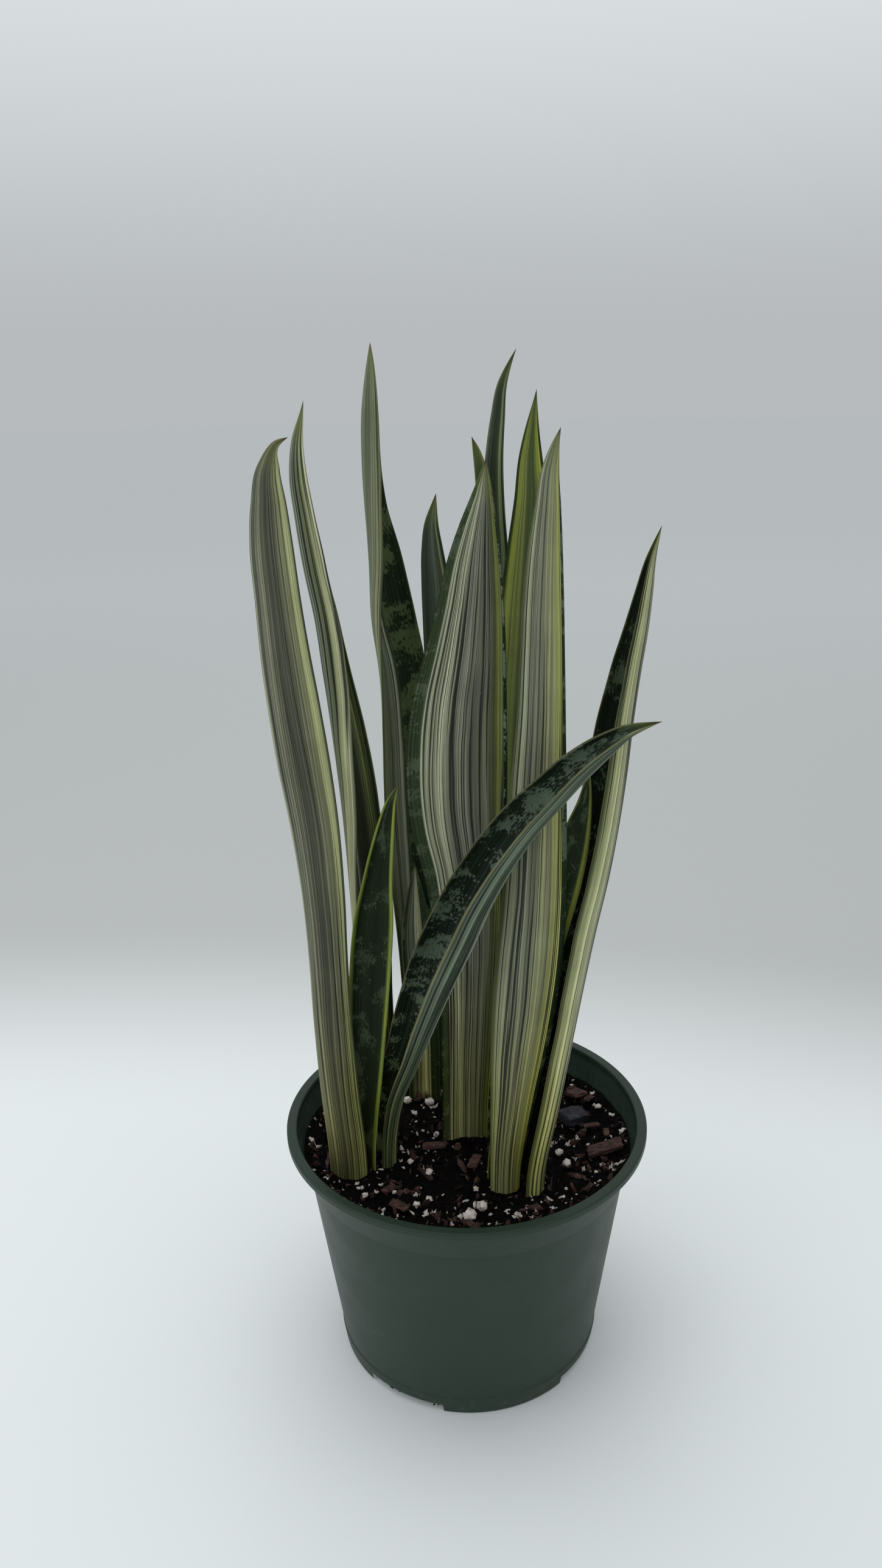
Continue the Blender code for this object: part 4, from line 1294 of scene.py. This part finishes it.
def build_weathering_tree():
    """Geometry Nodes: a coarse solid made fine, and dented by noise and by round cells."""
    tree, given, output = open_group("weathered", "GeometryNodeTree", (
        ("Geometry", "Geometry", None), ("Levels", "Int", 3), ("Lump Size", "Float", 2.0 * MM),
        ("Noise Depth", "Float", 0.4 * MM), ("Cell Depth", "Float", 0.0), ("Seed", "Float", 0.0),
        ("Material", "Material", None),
    ), (("Geometry", "Geometry"),))
    fine = place(tree, "GeometryNodeSubdivisionSurface", {0: given["Geometry"], "Level": given["Levels"]})
    here = tree.nodes.new("GeometryNodeInputPosition").outputs[0]
    shift = vector_of(tree, given["Seed"], 0.0, given["Seed"])
    spot = summed(tree, scaled(tree, here, 1.0 / given["Lump Size"]), shift)
    rough = noise_of(tree, spot, 1.0, 4.0, 0.65) - 0.55
    cells = place(tree, "ShaderNodeTexVoronoi", {"Vector": spot, "Scale": 1.3}, feature="SMOOTH_F1")
    bulge = 0.25 - Value(tree, cells.outputs["Distance"])
    push = rough * given["Noise Depth"] + bulge * given["Cell Depth"]
    normal = tree.nodes.new("GeometryNodeInputNormal").outputs[0]
    values = {"Geometry": fine.outputs[0], "Offset": scaled(tree, normal, push)}
    moved = place(tree, "GeometryNodeSetPosition", values)
    finish_tree(tree, moved.outputs[0], given["Material"], output)
    return tree


weathering_tree = build_weathering_tree()
BARK_GRAIN = (260.0, 900.0, 900.0)
PERLITE_CLEAN = paint(206, 196, 188)
PERLITE_STAINED = paint(138, 116, 106)


def bark_material(name, dark, light):
    """Split bark: fibres along the chip, in two browns."""
    material, tree, surface, coordinates = new_material(name, 0.8, 0.25)
    stretched = place(tree, "ShaderNodeMapping", {"Vector": coordinates, "Scale": BARK_GRAIN})
    fibres = noise_of(tree, stretched.outputs[0], 1.0, 4.0, 0.7)
    colour = blend_colour(tree, between(fibres, 0.36, 0.66), paint(*dark), paint(*light))
    fill(tree, surface, {
        "Base Color": clouded(tree, colour, coordinates, 160.0, 0.4),
        "Roughness": fibres * -0.3 + 0.92,
    })
    raise_surface(tree, surface, fibres, 0.4 * MM)
    return material


def perlite_material():
    """Puffed white glass, slightly stained by the soil."""
    material, tree, surface, coordinates = new_material("perlite_glass", 0.75, 0.35)
    stain = noise_of(tree, coordinates, 330.0, 3.0, 0.6)
    pores = noise_of(tree, coordinates, 1600.0, 3.0, 0.7)
    fill(tree, surface, {
        "Base Color": blend_colour(tree, between(stain, 0.46, 0.74), PERLITE_CLEAN, PERLITE_STAINED),
        "Roughness": pores * 0.3 + 0.55,
    })
    raise_surface(tree, surface, pores, 0.25 * MM)
    return material


def weather(node, suffix, slot, settings):
    """Replace a model chip or grain with its weathered self."""
    mesh = mesh_of(node + suffix, merged_copy(node))
    result = run_tree(node + suffix, mesh, weathering_tree, settings)
    add_piece(node + suffix, face_outwards(result), slot, node)


# %% Make the bark and the perlite
BROWN_BARK = bark_material("bark_brown", (36, 24, 22), (84, 57, 49))
GREY_BARK = bark_material("bark_slate", (24, 23, 28), (48, 46, 54))
PERLITE = perlite_material()
SLATE_CHIP = "bark_chip_02"

for number, node in enumerate(BARK_NODES):
    skin = GREY_BARK if node == SLATE_CHIP else BROWN_BARK
    values = {"Levels": 3, "Lump Size": 2.4 * MM, "Noise Depth": 1.9 * MM,
              "Seed": 5.3 * number, "Material": skin}
    weather(node, "_split", "bark", values)
for number, node in enumerate(PERLITE_NODES):
    values = {"Levels": 1, "Lump Size": 1.5 * MM, "Noise Depth": 1.6 * MM, "Cell Depth": 1.3 * MM,
              "Seed": 2.9 * number, "Material": PERLITE}
    weather(node, "_grain", "perlite", values)
print("bark chips", len(BARK_NODES), "and perlite grains", len(PERLITE_NODES), "made")

# %% [markdown]
# ## Loose soil
#
# Hundreds of crumbs, flakes of bark and small bits of perlite lie on the soil. They repeat, so one
# Geometry Nodes tree scatters them: it spreads points over the bare soil, sets a few templates on
# them at random turns and sizes, and makes them real. Soil near a leaf is left free.

# %% Scatter tree


def build_scatter_tree():
    """Geometry Nodes: templates from a collection, strewn over the faces that are marked bare."""
    tree, given, output = open_group("strewn", "GeometryNodeTree", (
        ("Geometry", "Geometry", None), ("Templates", "Collection", None), ("Density", "Float", 1.0),
        ("Smallest", "Float", 1.0 * MM), ("Largest", "Float", 2.0 * MM), ("Sink", "Float", 0.2),
        ("Clump Scale", "Float", 90.0), ("Seed", "Int", 0), ("Material", "Material", None),
    ), (("Geometry", "Geometry"),))
    here = tree.nodes.new("GeometryNodeInputPosition").outputs[0]
    clumps = between(noise_of(tree, here, given["Clump Scale"], 2.0), 0.36, 0.62, 0.25, 1.7)
    density = attribute(tree, "bare") * (clumps * given["Density"])
    values = {"Mesh": given["Geometry"], "Density": density, "Seed": given["Seed"]}
    spread = place(tree, "GeometryNodeDistributePointsOnFaces", values)
    values = {0: given["Templates"], "Separate Children": True, "Reset Children": True}
    kit = place(tree, "GeometryNodeCollectionInfo", values)
    kind = "FunctionNodeRandomValue"
    values = {1: (math.tau,) * 3, "Seed": given["Seed"]}
    turn = place(tree, kind, values, data_type="FLOAT_VECTOR")
    chance = place(tree, kind, {"Seed": given["Seed"] + 1.0}, data_type="FLOAT").outputs[1]
    span = given["Largest"] - given["Smallest"]
    size = Value(tree, chance) ** 2.2 * span + given["Smallest"]
    size = maths(tree, "MINIMUM", size, attribute(tree, "room"))
    drop = vector_of(tree, 0.0, 0.0, size * given["Sink"] * -1.0)
    lowered = place(tree, "GeometryNodeSetPosition", {"Geometry": spread.outputs[0], "Offset": drop})
    values = {"Points": lowered.outputs[0], "Instance": kit.outputs[0], "Pick Instance": True,
              "Rotation": turn.outputs[0], "Scale": vector_of(tree, size, size, size)}
    strewn = place(tree, "GeometryNodeInstanceOnPoints", values)
    finish_tree(tree, strewn.outputs[0], given["Material"], output)
    return tree


scatter_tree = build_scatter_tree()
print("scatter tree:", len(scatter_tree.nodes), "nodes")

# %% Templates
TEMPLATE_COUNT = 5


def template_set(name, stretch, roughness, seed):
    """A hidden collection of small irregular solids, one unit across."""
    kit = bpy.data.collections.new(name)
    chance = random.Random(seed)
    for number in range(TEMPLATE_COUNT):
        shape = bmesh.new()
        bmesh.ops.create_uvsphere(shape, u_segments=7, v_segments=5, radius=0.5)
        offset = Vector((chance.uniform(0, 99), chance.uniform(0, 99), chance.uniform(0, 99)))
        for point in shape.verts:
            point.co *= 1.0 + roughness * noise.noise(point.co * 3.2 + offset)
            point.co *= Vector(stretch)
        mesh = mesh_of(f"{name}_{number}", shape)
        kit.objects.link(bpy.data.objects.new(mesh.name, mesh))
    return kit


CRUMBS = template_set("crumbs", stretch=(1.0, 0.8, 0.7), roughness=1.3, seed=11)
FLAKES = template_set("flakes", stretch=(1.7, 0.7, 0.22), roughness=1.0, seed=12)
PUFFS = template_set("puffs", stretch=(1.2, 0.85, 0.7), roughness=2.0, seed=13)

# %% [markdown]
# Each point of the soil carries two numbers. `bare` is 0 close to a leaf or the wall, and 1 elsewhere.
# `room` is how large a grain may be there, so that none pokes through the collar or into a leaf.

# %% Strew the loose soil
WALL_MARGIN = 0.5 * MM
LEAF_MARGIN = 0.8 * MM
ROOM_OVERLAP = 0.6 * MM


def mark(mesh, name, values):
    """Store a number at each point of a mesh."""
    data = mesh.attributes.new(name, "FLOAT", "POINT").data
    data.foreach_set("value", np.asarray(values, np.float32))


def bare_patch():
    """The soil plug, with `bare` at each point, and the `room` that a grain has there."""
    mesh = plug_mesh.copy()
    feet = []
    for node in LEAF_NODES:
        feet.extend(read_leaf(node)[0][1][:SIDE_SIZE, :2])
    feet = np.array(feet)
    places = np.array([point.co[:] for point in mesh.vertices])
    reach = np.linalg.norm(places[:, None, :2] - feet[None], axis=2).min(1)
    room = np.array([rim_radius(math.atan2(y, x)) - math.hypot(x, y) for x, y in places[:, :2]])
    top = np.arange(len(places)) <= SOIL_RINGS * SOIL_TURNS
    mark(mesh, "bare", (reach > LEAF_MARGIN) & (room > WALL_MARGIN) & top)
    mark(mesh, "room", np.minimum(room, reach) + ROOM_OVERLAP)
    return mesh


CRUMB_SOIL = soil_material("soil_crumb", (3, 2, 2), (24, 17, 15), 0.9)
# Name, templates, grains to the square metre, smallest and largest in mm, sink, seed, finish, slot.
LOOSE = (
    ("soil_crumbs", CRUMBS, 170000.0, 1.2, 5.0, 0.25, 3, CRUMB_SOIL, "soil"),
    ("bark_flakes", FLAKES, 34000.0, 1.6, 6.0, 0.0, 8, BROWN_BARK, "bark"),
    ("perlite_bits", PUFFS, 25000.0, 0.8, 3.1, 0.1, 5, PERLITE, "perlite"),
)
for name, kit, density, smallest, largest, sink, seed, skin, slot in LOOSE:
    settings = {"Templates": kit, "Density": density, "Smallest": smallest * MM, "Largest": largest * MM,
                "Sink": sink, "Seed": seed, "Material": skin}
    strewn_mesh = run_tree(name, bare_patch(), scatter_tree, settings)
    add_piece(name, strewn_mesh, slot)
    print(name, len(strewn_mesh.polygons), "faces")

# %% [markdown]
# Some soil has trickled out of the drain notches. The same tree strews crumbs over a small patch
# laid in the mouth of each.

# %% Crumbs in the notches
NOTCH_SPILL = 5.0 * MM
SPILL_HEIGHT = 1.7 * MM
SPILL_STEPS = 8
SPILL_INSET = 1.5 * MM
SPILL_SHARE = 0.9


def notch_patch(boxes):
    """A strip in the mouth of each notch, all of it bare."""
    points, faces = [], []
    for azimuth, half, height, radius in boxes:
        reach = math.degrees(math.asin(SPILL_SHARE * half / radius))
        for step in range(SPILL_STEPS + 1):
            angle = math.radians(azimuth + reach * (2 * step / SPILL_STEPS - 1))
            for distance in (radius - NOTCH_SPILL - SPILL_INSET, radius - SPILL_INSET):
                points.append((*polar(distance, angle), SPILL_HEIGHT))
            if step:
                last = len(points) - 1
                faces.append((last - 3, last - 1, last, last - 2))
    mesh = bpy.data.meshes.new("notch_patch")
    mesh.from_pydata(points, [], faces)
    mark(mesh, "bare", [1.0] * len(points))
    mark(mesh, "room", [NOTCH_SPILL] * len(points))
    return mesh


settings = {"Templates": CRUMBS, "Density": 260000.0, "Smallest": 0.8 * MM, "Largest": 2.2 * MM,
            "Sink": 0.0, "Seed": 21, "Material": CRUMB_SOIL}
spill_mesh = run_tree("notch_crumbs", notch_patch(drain_notches), scatter_tree, settings)
add_piece("notch_crumbs", spill_mesh, "soil")
print("notch crumbs:", len(spill_mesh.polygons), "faces")
